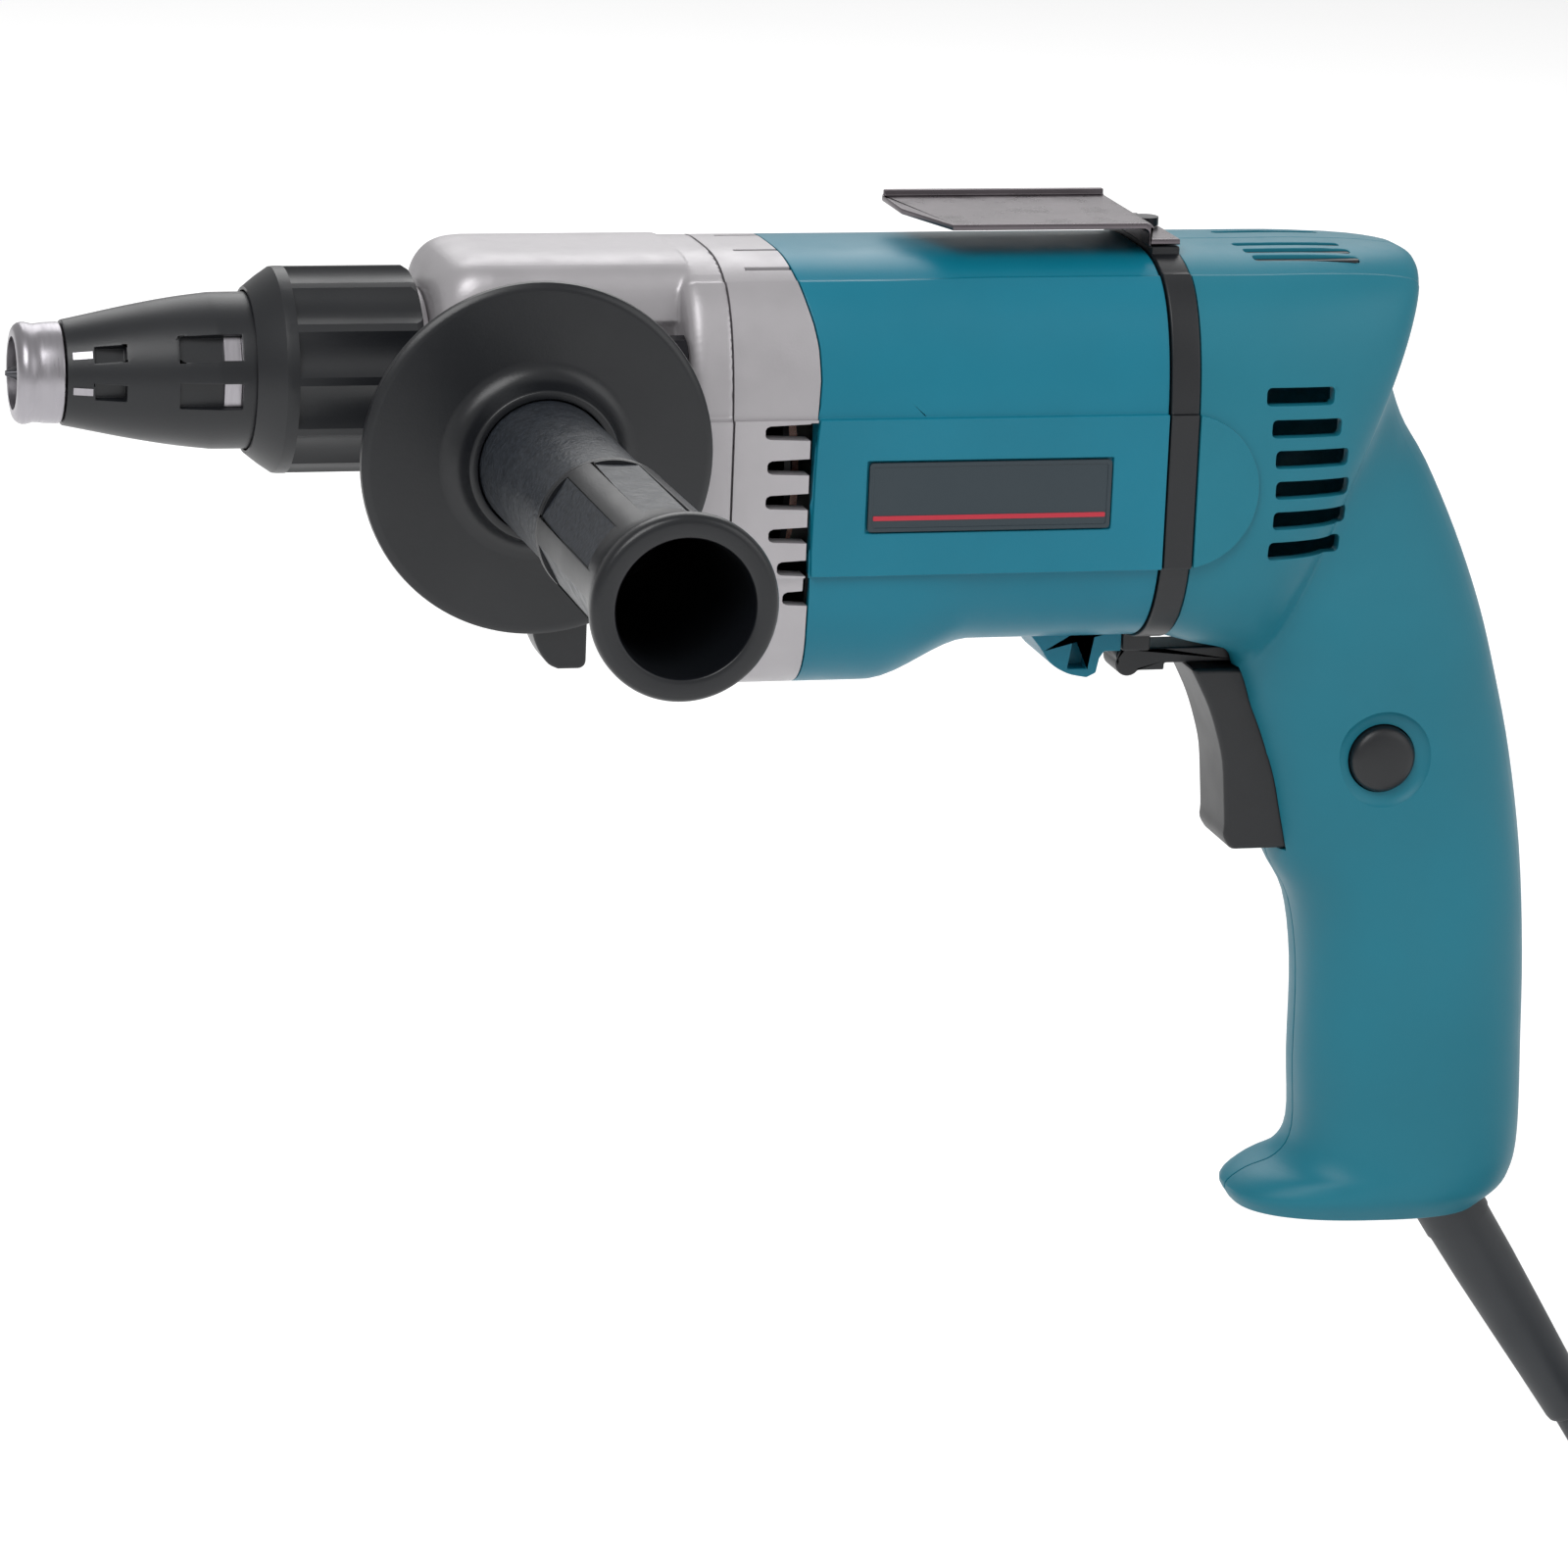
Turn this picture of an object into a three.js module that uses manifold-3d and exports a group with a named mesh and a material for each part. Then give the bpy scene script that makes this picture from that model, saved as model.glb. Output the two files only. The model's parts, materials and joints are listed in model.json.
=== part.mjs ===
// Corded drill driver with a depth-setting nose, a side handle and a belt hook, in millimetres, +Z up.
// The nose points to -X and the side handle to -Y. The origin is the middle of the pistol grip.
// Names that start with a piece's name hold that piece's own sizes. Outlines are shares of those sizes.

import * as THREE from 'three';
import { mergeVertices } from 'three/addons/utils/BufferGeometryUtils.js';
import Module from 'manifold-3d';

const wasm = await Module();
wasm.setup();

// Sizes that the whole tool shares
const clearance = 0.3;
const overrun = 2;
const plasticWall = 2.8;
const castWall = 3.2;

// Numbers of sides of round bodies, from the widest to the thinnest
const fineSteps = 26;
const sleeveSteps = 24;
const roundSteps = 20;
const smallSteps = 16;
const headSteps = 12;
const fluteSteps = 10;
const shankSteps = 8;
const hexSides = 6;
const mergeDistance = 0.0001;

// Shaft heights and the gear pair
const spindleHeight = 115;
const gearModule = 0.8;
const pinionTeeth = 8;
const driveGearTeeth = 40;
const gearCentres = gearModule * (pinionTeeth + driveGearTeeth) / 2;
const motorHeight = spindleHeight - gearCentres;

// Barrel of the tool, from the nose face back to the handle
const barrelTop = spindleHeight + 23.7;
const barrelFrontBottom = barrelTop - 84.5;
const barrelRearBottom = barrelTop - 76.7;
const barrelHalfWidth = 31.2;
const barrelPower = 3.2;
const noseFace = -206;
const flangeFace = -160;
const partingPlace = -151.5;
const seamPlace = -136;
const bandBack = -59.5;
const bandWidth = 6;
const bandFront = bandBack - bandWidth;
const bellyStepStart = -120;
const bellyStepEnd = -99;
const bellyStepShares = [0, 0.3, 0.7, 1];

// Raised flat on each flank, from the flange to its round end on the handle
const flankHalfWidth = barrelHalfWidth + 0.8;
const flankTop = motorHeight + 14.7;
const flankBottom = motorHeight - 15.8;
const flankEnd = -47;

// Meshes and solids

function solidOf(geometry) {
  const bare = new THREE.BufferGeometry();
  bare.setAttribute('position', geometry.getAttribute('position').clone());
  if (geometry.index) bare.setIndex(geometry.index.clone());
  const merged = mergeVertices(bare, mergeDistance);
  return new wasm.Manifold(new wasm.Mesh({
    numProp: 3,
    vertProperties: new Float32Array(merged.getAttribute('position').array),
    triVerts: new Uint32Array(merged.index.array),
  }));
}

function geometryOf(solid) {
  const mesh = solid.getMesh();
  const geometry = new THREE.BufferGeometry();
  geometry.setAttribute('position', new THREE.BufferAttribute(mesh.vertProperties, 3));
  geometry.setIndex(new THREE.BufferAttribute(mesh.triVerts, 1));
  geometry.computeVertexNormals();
  return geometry;
}

function joined(solids) {
  return solids.reduce((sum, solid) => sum.add(solid));
}

function cutBy(body, cutters) {
  return cutters.reduce((rest, cutter) => rest.subtract(cutter), body);
}

const group = new THREE.Group();

function addPiece(name, solid, material) {
  const mesh = new THREE.Mesh(geometryOf(solid), material);
  mesh.name = name;
  group.add(mesh);
}

// A block between two corners
function block(x0, x1, y0, y1, z0, z1) {
  const geometry = new THREE.BoxGeometry(x1 - x0, y1 - y0, z1 - z0);
  geometry.translate((x0 + x1) / 2, (y0 + y1) / 2, (z0 + z1) / 2);
  return solidOf(geometry);
}

// A body turned about a line: each profile point is [place along the line, radius]
function turned(profile, steps = roundSteps) {
  const points = profile.map(([along, radius]) => new THREE.Vector2(radius, along));
  return new THREE.LatheGeometry(points, steps);
}

const turnFor = {
  x: new THREE.Matrix4().makeRotationZ(-Math.PI / 2),
  y: new THREE.Matrix4(),
  z: new THREE.Matrix4().makeRotationX(Math.PI / 2),
};

// The profile runs up the axis on the outside and back down inside, or starts and ends on the axis
function turnedOn(axis, profile, centre, steps = roundSteps) {
  const geometry = turned(profile, steps);
  geometry.applyMatrix4(turnFor[axis]);
  geometry.translate(centre[0], centre[1], centre[2]);
  return solidOf(geometry);
}

function rod(axis, radius, start, end, centre, steps = roundSteps) {
  return turnedOn(axis, [[start, 0], [start, radius], [end, radius], [end, 0]], centre, steps);
}

// A tube that is open at both ends
function pipe(axis, outer, inner, start, end, centre, steps = roundSteps) {
  const profile = [[start, inner], [start, outer], [end, outer], [end, inner], [start, inner]];
  return turnedOn(axis, profile, centre, steps);
}

// One closed ring of a loft: a power curve on two half axes
function powerRing(centre, across, along, power, count) {
  const ring = [];
  for (let i = 0; i < count; i++) {
    const turn = (2 * Math.PI * i) / count;
    const c = Math.cos(turn);
    const s = Math.sin(turn);
    const a = Math.sign(c) * Math.abs(c) ** (2 / power);
    const b = Math.sign(s) * Math.abs(s) ** (2 / power);
    ring.push(centre.clone().addScaledVector(across, a).addScaledVector(along, b));
  }
  return ring;
}

// A closed body through rings that have as many points each
function lofted(rings) {
  const count = rings[0].length;
  const positions = [];
  const index = [];
  rings.forEach((ring) => ring.forEach((p) => positions.push(p.x, p.y, p.z)));
  for (let k = 0; k + 1 < rings.length; k++) {
    for (let i = 0; i < count; i++) {
      const j = (i + 1) % count;
      const a = k * count + i;
      const b = k * count + j;
      index.push(a, b, b + count, a, b + count, a + count);
    }
  }
  [0, rings.length - 1].forEach((k) => {
    const middle = rings[k].reduce((sum, p) => sum.add(p), new THREE.Vector3()).divideScalar(count);
    const hub = positions.length / 3;
    positions.push(middle.x, middle.y, middle.z);
    for (let i = 0; i < count; i++) {
      const a = k * count + i;
      const b = k * count + ((i + 1) % count);
      if (k === 0) index.push(hub, b, a);
      else index.push(hub, a, b);
    }
  });
  const geometry = new THREE.BufferGeometry();
  geometry.setAttribute('position', new THREE.Float32BufferAttribute(positions, 3));
  geometry.setIndex(index);
  return solidOf(geometry);
}

// A flat outline drawn in X and Z, carried from y0 to y1
function slabXZ(points, y0, y1) {
  const shape = new THREE.Shape(points.map(([x, z]) => new THREE.Vector2(x, z)));
  const geometry = new THREE.ExtrudeGeometry(shape, { depth: y1 - y0, bevelEnabled: false, steps: 1 });
  geometry.rotateX(Math.PI / 2);
  geometry.translate(0, y1, 0);
  return solidOf(geometry);
}

// A flat outline drawn in X and Y, carried from z0 to z1
function slabXY(points, z0, z1) {
  const shape = new THREE.Shape(points.map(([x, y]) => new THREE.Vector2(x, y)));
  const geometry = new THREE.ExtrudeGeometry(shape, { depth: z1 - z0, bevelEnabled: false, steps: 1 });
  geometry.translate(0, 0, z0);
  return solidOf(geometry);
}

// A flat outline drawn across the X axis, as [y, z] from a centre, carried from x0 to x1
function slabYZ(points, x0, x1, centreY, centreZ) {
  const shape = new THREE.Shape(points.map(([y, z]) => new THREE.Vector2(y, z)));
  const geometry = new THREE.ExtrudeGeometry(shape, { depth: x1 - x0, bevelEnabled: false, steps: 1 });
  geometry.rotateY(Math.PI / 2);
  geometry.rotateX(Math.PI / 2);
  geometry.translate(x0, centreY, centreZ);
  return solidOf(geometry);
}

function arcPoints(centreX, centreZ, radius, from, to, steps) {
  const points = [];
  for (let i = 0; i <= steps; i++) {
    const turn = from + ((to - from) * i) / steps;
    points.push([centreX + radius * Math.cos(turn), centreZ + radius * Math.sin(turn)]);
  }
  return points;
}

function ringOfTurns(count, phase = 0) {
  return Array.from({ length: count }, (_, i) => phase + (2 * Math.PI * i) / count);
}

// A solid turned about a line along X
function turnedAboutX(solid, turn, height) {
  return solid
    .translate([0, 0, -height])
    .rotate([THREE.MathUtils.radToDeg(turn), 0, 0])
    .translate([0, 0, height]);
}

function plastic(color, roughness) {
  return new THREE.MeshStandardMaterial({ color, roughness, metalness: 0 });
}

function metal(color, roughness) {
  return new THREE.MeshStandardMaterial({ color, roughness, metalness: 1 });
}

const teal = plastic(0x1f7f92, 0.45);
const darkTeal = plastic(0x34778a, 0.5);
const blackPlastic = plastic(0x2b2f34, 0.55);
const blackRubber = plastic(0x25282c, 0.75);
const plateGrey = plastic(0x3d4a55, 0.5);
const castAluminium = metal(0xc8c6cc, 0.45);
const steel = metal(0xbebcc6, 0.25);
const darkSteel = metal(0x5b5d62, 0.4);
const blackSteel = metal(0x33363b, 0.4);
const copper = metal(0xb06a3a, 0.4);
const brass = metal(0xc2a15a, 0.35);
const carbon = plastic(0x1c1c1e, 0.9);

// Barrel: one family of rounded sections for the cast flange, the motor housing and the band

const axisX = new THREE.Vector3(1, 0, 0);
const axisY = new THREE.Vector3(0, 1, 0);
const axisZ = new THREE.Vector3(0, 0, 1);

function barrelBottomAt(x) {
  const share = THREE.MathUtils.smoothstep(x, bellyStepStart, bellyStepEnd);
  return THREE.MathUtils.lerp(barrelFrontBottom, barrelRearBottom, share);
}

function barrelRing(x, inset, count = fineSteps) {
  const top = barrelTop - inset;
  const bottom = barrelBottomAt(x) + inset;
  const centre = new THREE.Vector3(x, 0, (top + bottom) / 2);
  const across = axisY.clone().multiplyScalar(barrelHalfWidth - inset);
  const up = axisZ.clone().multiplyScalar((top - bottom) / 2);
  return powerRing(centre, across, up, barrelPower, count);
}

function barrelBody(x0, x1, inset) {
  const stepPlaces = bellyStepShares.map((t) => THREE.MathUtils.lerp(bellyStepStart, bellyStepEnd, t));
  const places = [x0, ...stepPlaces.filter((x) => x > x0 && x < x1), x1];
  return lofted(places.map((x) => barrelRing(x, inset)));
}

function flankPanel(x0, x1) {
  const middle = (flankTop + flankBottom) / 2;
  const radius = (flankTop - flankBottom) / 2;
  const round = arcPoints(flankEnd - radius, middle, radius, -Math.PI / 2, Math.PI / 2, shankSteps);
  const outline = [[flangeFace, flankBottom], ...round, [flangeFace, flankTop]];
  const slab = slabXZ(outline, -flankHalfWidth, flankHalfWidth);
  return slab.intersect(block(
    x0, x1, -flankHalfWidth - overrun, flankHalfWidth + overrun, flankBottom, flankTop,
  ));
}

// Gear case screws: four long screws from the flange's step into the motor housing
const caseScrewRadius = 2.1;
const caseScrewHeadRadius = 4.2;
const caseScrewHeadHeight = 3.4;
const caseScrewHexRadius = 2;
const caseScrewBossRadius = 4.6;
const caseScrewEnd = -118;
const caseScrewUpHalf = 0.79 * barrelHalfWidth;
const caseScrewUpHeight = barrelTop - 17.2;
const caseScrewLowHalf = 0.705 * barrelHalfWidth;
const caseScrewLowHeight = barrelFrontBottom + 12.3;
const caseScrewPlaces = [
  [-caseScrewUpHalf, caseScrewUpHeight],
  [caseScrewUpHalf, caseScrewUpHeight],
  [-caseScrewLowHalf, caseScrewLowHeight],
  [caseScrewLowHalf, caseScrewLowHeight],
];

function caseScrew([y, z]) {
  const head = rod(
    'x', caseScrewHeadRadius, flangeFace - clearance - caseScrewHeadHeight, flangeFace - clearance,
    [0, y, z], headSteps,
  );
  const shank = rod(
    'x', caseScrewRadius, flangeFace - clearance - overrun, caseScrewEnd, [0, y, z], shankSteps,
  );
  const socketEnd = flangeFace - clearance - caseScrewHeadHeight / 2;
  const socket = rod(
    'x', caseScrewHexRadius, socketEnd - caseScrewHeadHeight, socketEnd, [0, y, z], hexSides,
  );
  return head.add(shank).subtract(socket);
}

function caseScrewHoles(x0, x1) {
  return caseScrewPlaces.map(([y, z]) => rod(
    'x', caseScrewRadius + clearance, x0, x1, [0, y, z], shankSteps,
  ));
}

function caseScrewBosses(x0, x1) {
  return caseScrewPlaces.map(([y, z]) => rod('x', caseScrewBossRadius, x0, x1, [0, y, z], shankSteps));
}

// Side handle places that the gear housing shares
const gripAxisX = -192;
const gripAxisZ = spindleHeight - 8.3;
const sideBossFace = 27;
const sideBossRadius = 13;
const studRadius = 4;

// Spindle bearing places that the gear housing shares
const bearingFront = noseFace + 0.4 * castWall;
const bearingWidth = 7;
const bearingOuterRadius = 12.5;
const bearingSplitRadius = 9.15;
const spindleRadius = 6.8;

// Drive gear places that the gear housing shares
const gearFront = -161;
const gearWidth = 8;
const gearBack = gearFront + gearWidth;
const gearTipRadius = gearModule * (driveGearTeeth / 2 + 0.85);
const gearRoomGap = 1.4;
const gearCavityRadius = gearTipRadius + gearRoomGap;

// Gear housing: a rounded nose body on a full-size flange, hollow for the spindle and the drive gear
const noseBodyBottom = spindleHeight - 28;
const noseBodyHalfWidth = gearCavityRadius + 2.1;
const noseBodyPower = 3.4;
const noseRound = 10;
const flangeWallDepth = 5;

// Each row: share of the round's length, of the top's drop, of the bottom's rise and of the half width
const noseRoundShares = [
  [0, 0.72, 0.9, 0.74],
  [0.12, 0.42, 0.55, 0.86],
  [0.35, 0.17, 0.25, 0.94],
  [0.65, 0.04, 0.07, 0.985],
  [1, 0, 0, 1],
];

function noseBodyRing(x, topDrop, bottomRise, half, inset) {
  const top = barrelTop - topDrop - inset;
  const bottom = noseBodyBottom + bottomRise + inset;
  const centre = new THREE.Vector3(x, 0, (top + bottom) / 2);
  const across = axisY.clone().multiplyScalar(half - inset);
  const up = axisZ.clone().multiplyScalar((top - bottom) / 2);
  return powerRing(centre, across, up, noseBodyPower, fineSteps);
}

function gearHousing() {
  const rings = noseRoundShares.map(([along, drop, rise, half]) => noseBodyRing(
    noseFace + along * noseRound, drop * noseRound, rise * noseRound, half * noseBodyHalfWidth, 0,
  ));
  rings.push(noseBodyRing(flangeFace + overrun, 0, 0, noseBodyHalfWidth, 0));
  const noseBody = lofted(rings);
  const flange = barrelBody(flangeFace, partingPlace - clearance, 0).add(flankPanel(
    flangeFace, partingPlace - clearance,
  ));
  const sideBoss = rod('y', sideBossRadius, -sideBossFace, sideBossFace, [gripAxisX, 0, gripAxisZ]);
  const outer = joined([noseBody, flange, sideBoss]);
  const bearingEnd = bearingFront + bearingWidth;
  const gearRoom = rod(
    'x', gearCavityRadius, bearingEnd + castWall, partingPlace, [0, 0, spindleHeight], fineSteps,
  );
  const shaftHole = rod('x', bearingSplitRadius, noseFace - overrun, partingPlace, [0, 0, spindleHeight]);
  const bearingSeat = rod(
    'x', bearingOuterRadius + clearance, bearingFront - clearance, bearingEnd + castWall + overrun,
    [0, 0, spindleHeight],
  );
  const pinionRoom = rod('x', pinionCavityRadius, gearFront - clearance, partingPlace, [0, 0, motorHeight]);
  const lowRoom = barrelBody(flangeFace + flangeWallDepth, partingPlace, castWall);
  const bossKeep = joined(caseScrewBosses(flangeFace + flangeWallDepth / 2, partingPlace - clearance));
  const studHoles = rod(
    'y', studRadius + clearance, -sideBossFace - overrun, sideBossFace + overrun,
    [gripAxisX, 0, gripAxisZ],
  );
  const hollow = joined([gearRoom, bearingSeat, shaftHole, pinionRoom, lowRoom.subtract(bossKeep)]);
  return cutBy(outer, [hollow, studHoles, ...caseScrewHoles(flangeFace - overrun, partingPlace)]);
}

// Bearing housing: the cast ring behind the parting line, with a wall that carries the motor's front bearing
const bearingWallDepth = 4;
const motorBearingRadius = 8;
const motorBearingWidth = 5;
const motorBearingLip = 0.8;
const motorShaftRadius = 4;
const pinionCavityRadius = 5.2;
const combSlotCount = 6;
const combSlotPitch = 6.5;
const combSlotHeight = 3;
const combSlotLength = 9;
const combSlotTop = motorHeight + 12.4;
const roofSlotLength = 8;
const roofSlotWidth = 1;
const roofSlotPitch = 10.4;
const roofSlotShares = [-1.5, -0.5, 0.5, 1.5];
const bushRadius = 6.4;

function combSlots() {
  const slots = [];
  for (let i = 0; i < combSlotCount; i++) {
    const z = combSlotTop - i * combSlotPitch;
    const half = combSlotHeight / 2;
    slots.push(block(
      seamPlace - combSlotLength, seamPlace + overrun, -flankHalfWidth - overrun,
      flankHalfWidth + overrun, z - half, z + half,
    ));
  }
  return slots;
}

function roofSlots() {
  const half = roofSlotWidth / 2;
  return roofSlotShares.map((share) => {
    const y = share * roofSlotPitch;
    return block(
      seamPlace - roofSlotLength, seamPlace + overrun, y - half, y + half,
      barrelTop - 3 * castWall, barrelTop + overrun,
    );
  });
}

function bearingHousing() {
  const start = partingPlace;
  const outer = barrelBody(start, seamPlace, 0).add(flankPanel(start, seamPlace));
  const room = barrelBody(start + bearingWallDepth, seamPlace + overrun, castWall);
  const motorSeat = rod(
    'x', motorBearingRadius + clearance, start + motorBearingLip - clearance, seamPlace,
    [0, 0, motorHeight],
  );
  const boss = rod(
    'x', motorBearingRadius + castWall, start, start + bearingWallDepth + clearance,
    [0, 0, motorHeight],
  );
  const shaftWay = rod('x', pinionCavityRadius, start - overrun, seamPlace, [0, 0, motorHeight]);
  const bushHole = rod('x', bushRadius + clearance, start - overrun, seamPlace, [0, 0, spindleHeight]);
  const midWall = barrelBody(start, seamPlace, castWall / 2);
  const bosses = joined(caseScrewBosses(start + overrun, seamPlace)).intersect(midWall);
  const shell = joined([outer.subtract(room), bosses, boss]);
  const screwHoles = caseScrewHoles(start - overrun, seamPlace + overrun);
  return cutBy(shell, [motorSeat, shaftWay, bushHole, ...combSlots(), ...roofSlots(), ...screwHoles]);
}

// Motor housing: a moulded shell with flats on its flanks, bosses, ribs for the field core and a rear wall
const rearWallPlace = -72;
const rearWallDepth = 3;
const rearBearingRadius = 7;
const rearBearingWidth = 5;
const coreFront = -128;
const coreLength = 38;
const coreOuterRadius = barrelHalfWidth - plasticWall - clearance;
const coreRibHalfWidth = 6;
const airHoleRadius = 5;
const airHoleCount = 4;
const airHoleCircle = 0.545 * barrelHalfWidth;
const lugFront = -84.6;
const lugLength = 18.8;
const lugHalfWidth = 9;
const lugDrop = 9;
const lugPocketFront = -76;
const lugPocketLength = 4;
const lugPocketTop = 0.3;
const lugPocketDepth = 4;
const lugPocketFloor = 1.7;
const plateFront = -125;
const plateLength = 48;
const plateHeight = 13.4;
const plateMiddle = motorHeight - 0.4;
const plateSunk = 0.8;
const plateThickness = 0.8;

// Each row: share of the lug's length from its front, and share of its drop
const lugShares = [
  [0, 0], [0.12, 0.31], [0.24, 0.66], [0.43, 0.9], [0.64, 1], [0.74, 0.9], [0.77, 0.58], [0.82, 0.42],
  [1, 0.42],
];

function motorLug() {
  const outline = lugShares.map(([along, down]) => [
    lugFront + along * lugLength, barrelRearBottom - down * lugDrop,
  ]);
  const middle = barrelRearBottom + plasticWall / 2;
  const back = lugFront + lugLength;
  const body = slabXZ(
    [[lugFront - overrun, middle], ...outline, [back, middle]], -lugHalfWidth, lugHalfWidth,
  );
  const pocket = block(
    lugPocketFront, lugPocketFront + lugPocketLength, -lugHalfWidth - overrun, -lugHalfWidth + lugPocketDepth,
    barrelRearBottom - lugDrop + lugPocketFloor, barrelRearBottom - lugPocketTop,
  );
  return body.subtract(pocket);
}

function coreRibs(room) {
  const coreBack = coreFront + coreLength;
  const ring = block(coreFront, coreBack, -coreRibHalfWidth, coreRibHalfWidth, barrelFrontBottom, barrelTop);
  const coreRoom = rod(
    'x', coreOuterRadius + clearance, coreFront - overrun, coreBack + overrun, [0, 0, motorHeight],
    fineSteps,
  );
  return ring.intersect(room).subtract(coreRoom);
}

function rearWall(room) {
  const wall = block(
    rearWallPlace, rearWallPlace + rearWallDepth, -barrelHalfWidth, barrelHalfWidth, barrelRearBottom,
    barrelTop,
  );
  const cup = rod(
    'x', rearBearingRadius + plasticWall, rearWallPlace,
    rearWallPlace + rearBearingWidth + rearWallDepth - overrun, [0, 0, motorHeight],
  );
  const seat = rod(
    'x', rearBearingRadius + clearance, rearWallPlace - overrun, rearWallPlace + rearBearingWidth,
    [0, 0, motorHeight],
  );
  const airHoles = ringOfTurns(airHoleCount, Math.PI / airHoleCount).map((turn) => {
    const y = airHoleCircle * Math.cos(turn);
    const z = motorHeight + airHoleCircle * Math.sin(turn);
    return rod(
      'x', airHoleRadius, rearWallPlace - overrun, rearWallPlace + rearWallDepth + overrun, [0, y, z],
      shankSteps,
    );
  });
  return cutBy(wall.intersect(room).add(cup), [seat, ...airHoles]);
}

function namePlateSeat() {
  const half = plateHeight / 2 + clearance;
  return block(plateFront - clearance, plateFront + plateLength + clearance,
    -flankHalfWidth - overrun, -flankHalfWidth + plateSunk, plateMiddle - half, plateMiddle + half);
}

function motorHousing() {
  const start = seamPlace + clearance;
  const end = bandFront - clearance;
  const outer = barrelBody(start, end, 0).add(flankPanel(start, end));
  const inner = barrelBody(start - overrun, end + overrun, plasticWall);
  const midWall = barrelBody(start, end, plasticWall / 2);
  const bosses = joined(caseScrewBosses(start, caseScrewEnd + overrun)).intersect(midWall);
  const shell = joined([
    outer.subtract(inner), coreRibs(midWall), rearWall(midWall), bosses, motorLug().subtract(inner),
  ]);
  return cutBy(shell, [namePlateSeat(), ...caseScrewHoles(start - overrun, caseScrewEnd + clearance)]);
}

function namePlate() {
  const half = plateHeight / 2;
  const back = -flankHalfWidth + plateSunk - clearance;
  return block(
    plateFront, plateFront + plateLength, back - plateThickness, back, plateMiddle - half,
    plateMiddle + half,
  );
}

// Black band between the motor housing and the handle, and the belt hook on its top
const bandProud = 0.5;
const bandWall = 3.4;
const bandPadHalfWidth = 14;
const bandPadRise = 1;
const bandFootDrop = 3.8;
const hookThickness = 1.2;
const hookGap = 4.8;
const hookLength = 46;
const hookHalfWidth = 16;
const hookLipRise = 1.2;
const hookTipSlant = 4;
const hookScrewRadius = 1.6;
const hookScrewHeadRadius = 2.6;
const hookScrewHeadHeight = 1.6;
const hookScrewPlace = [(bandFront + bandBack - clearance) / 2, 0, 0];
const bandPadTop = barrelTop + bandPadRise;
const hookUnder = barrelTop + hookGap;

function hookBand() {
  const start = bandFront;
  const end = bandBack - clearance;
  const outer = barrelBody(start, end, -bandProud);
  const pad = block(start, end, -bandPadHalfWidth, bandPadHalfWidth, barrelTop - 2 * plasticWall, bandPadTop);
  const foot = block(
    start, end, -lugHalfWidth, lugHalfWidth, barrelRearBottom - bandFootDrop,
    barrelRearBottom + bandWall / 2,
  );
  const inner = barrelBody(start - overrun, end + overrun, bandWall);
  const hole = rod(
    'z', hookScrewRadius + clearance, bandPadTop - bandWall - 2 * overrun, bandPadTop + overrun,
    hookScrewPlace, headSteps,
  );
  return cutBy(joined([outer, pad, foot]), [inner, hole]);
}

function beltHook() {
  const back = bandBack - clearance;
  const front = bandFront - hookLength;
  const foot = bandPadTop + clearance;
  const top = hookUnder + hookThickness;
  const side = [
    [front, hookUnder],
    [bandFront - hookThickness, hookUnder],
    [bandFront - hookThickness, foot],
    [back, foot],
    [back, foot + hookThickness],
    [bandFront, foot + hookThickness],
    [bandFront, hookUnder + hookThickness / 2],
    [bandFront - hookThickness / 2, top],
    [front, top],
  ];
  const plate = slabXZ(side, -hookHalfWidth, hookHalfWidth);
  const edge = -hookHalfWidth - overrun;
  const corner = [
    [front - overrun, edge], [front + hookTipSlant + overrun, edge],
    [front - overrun, hookHalfWidth / 2],
  ];
  const slant = slabXY(corner, barrelTop, top + overrun);
  const lip = block(
    front, bandFront - hookThickness, hookHalfWidth - hookThickness, hookHalfWidth,
    hookUnder, top + hookLipRise,
  );
  const trims = [-1, 1].map((sideSign) => {
    const near = sideSign * bandPadHalfWidth;
    const far = sideSign * (hookHalfWidth + overrun);
    return block(
      bandFront - hookThickness / 2, back + overrun, Math.min(near, far), Math.max(near, far),
      foot - overrun, hookUnder,
    );
  });
  const hole = rod(
    'z', hookScrewRadius + clearance, foot - overrun, foot + hookThickness + overrun, hookScrewPlace,
    headSteps,
  );
  return cutBy(plate.add(lip), [slant, ...trims, hole]);
}

function hookScrew() {
  const seat = bandPadTop + 2 * clearance + hookThickness;
  const head = rod('z', hookScrewHeadRadius, seat, seat + hookScrewHeadHeight, hookScrewPlace, smallSteps);
  const shank = rod(
    'z', hookScrewRadius, bandPadTop - bandWall, seat + overrun / 2, hookScrewPlace, headSteps,
  );
  return head.add(shank);
}

// Handle: rings that fan from the band, round the rear horn and down the pistol grip
const handleReach = 88;
const heelHeight = -64.4;
const handleDrop = barrelTop - heelHeight;
const handlePower = 2.5;
const handleCount = 18;
const handleCavityRows = [0, 1, 3, 4, 5, 6, 7, 9, 11, 13, 15, 18];
const halvesGap = 0.3;

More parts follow.
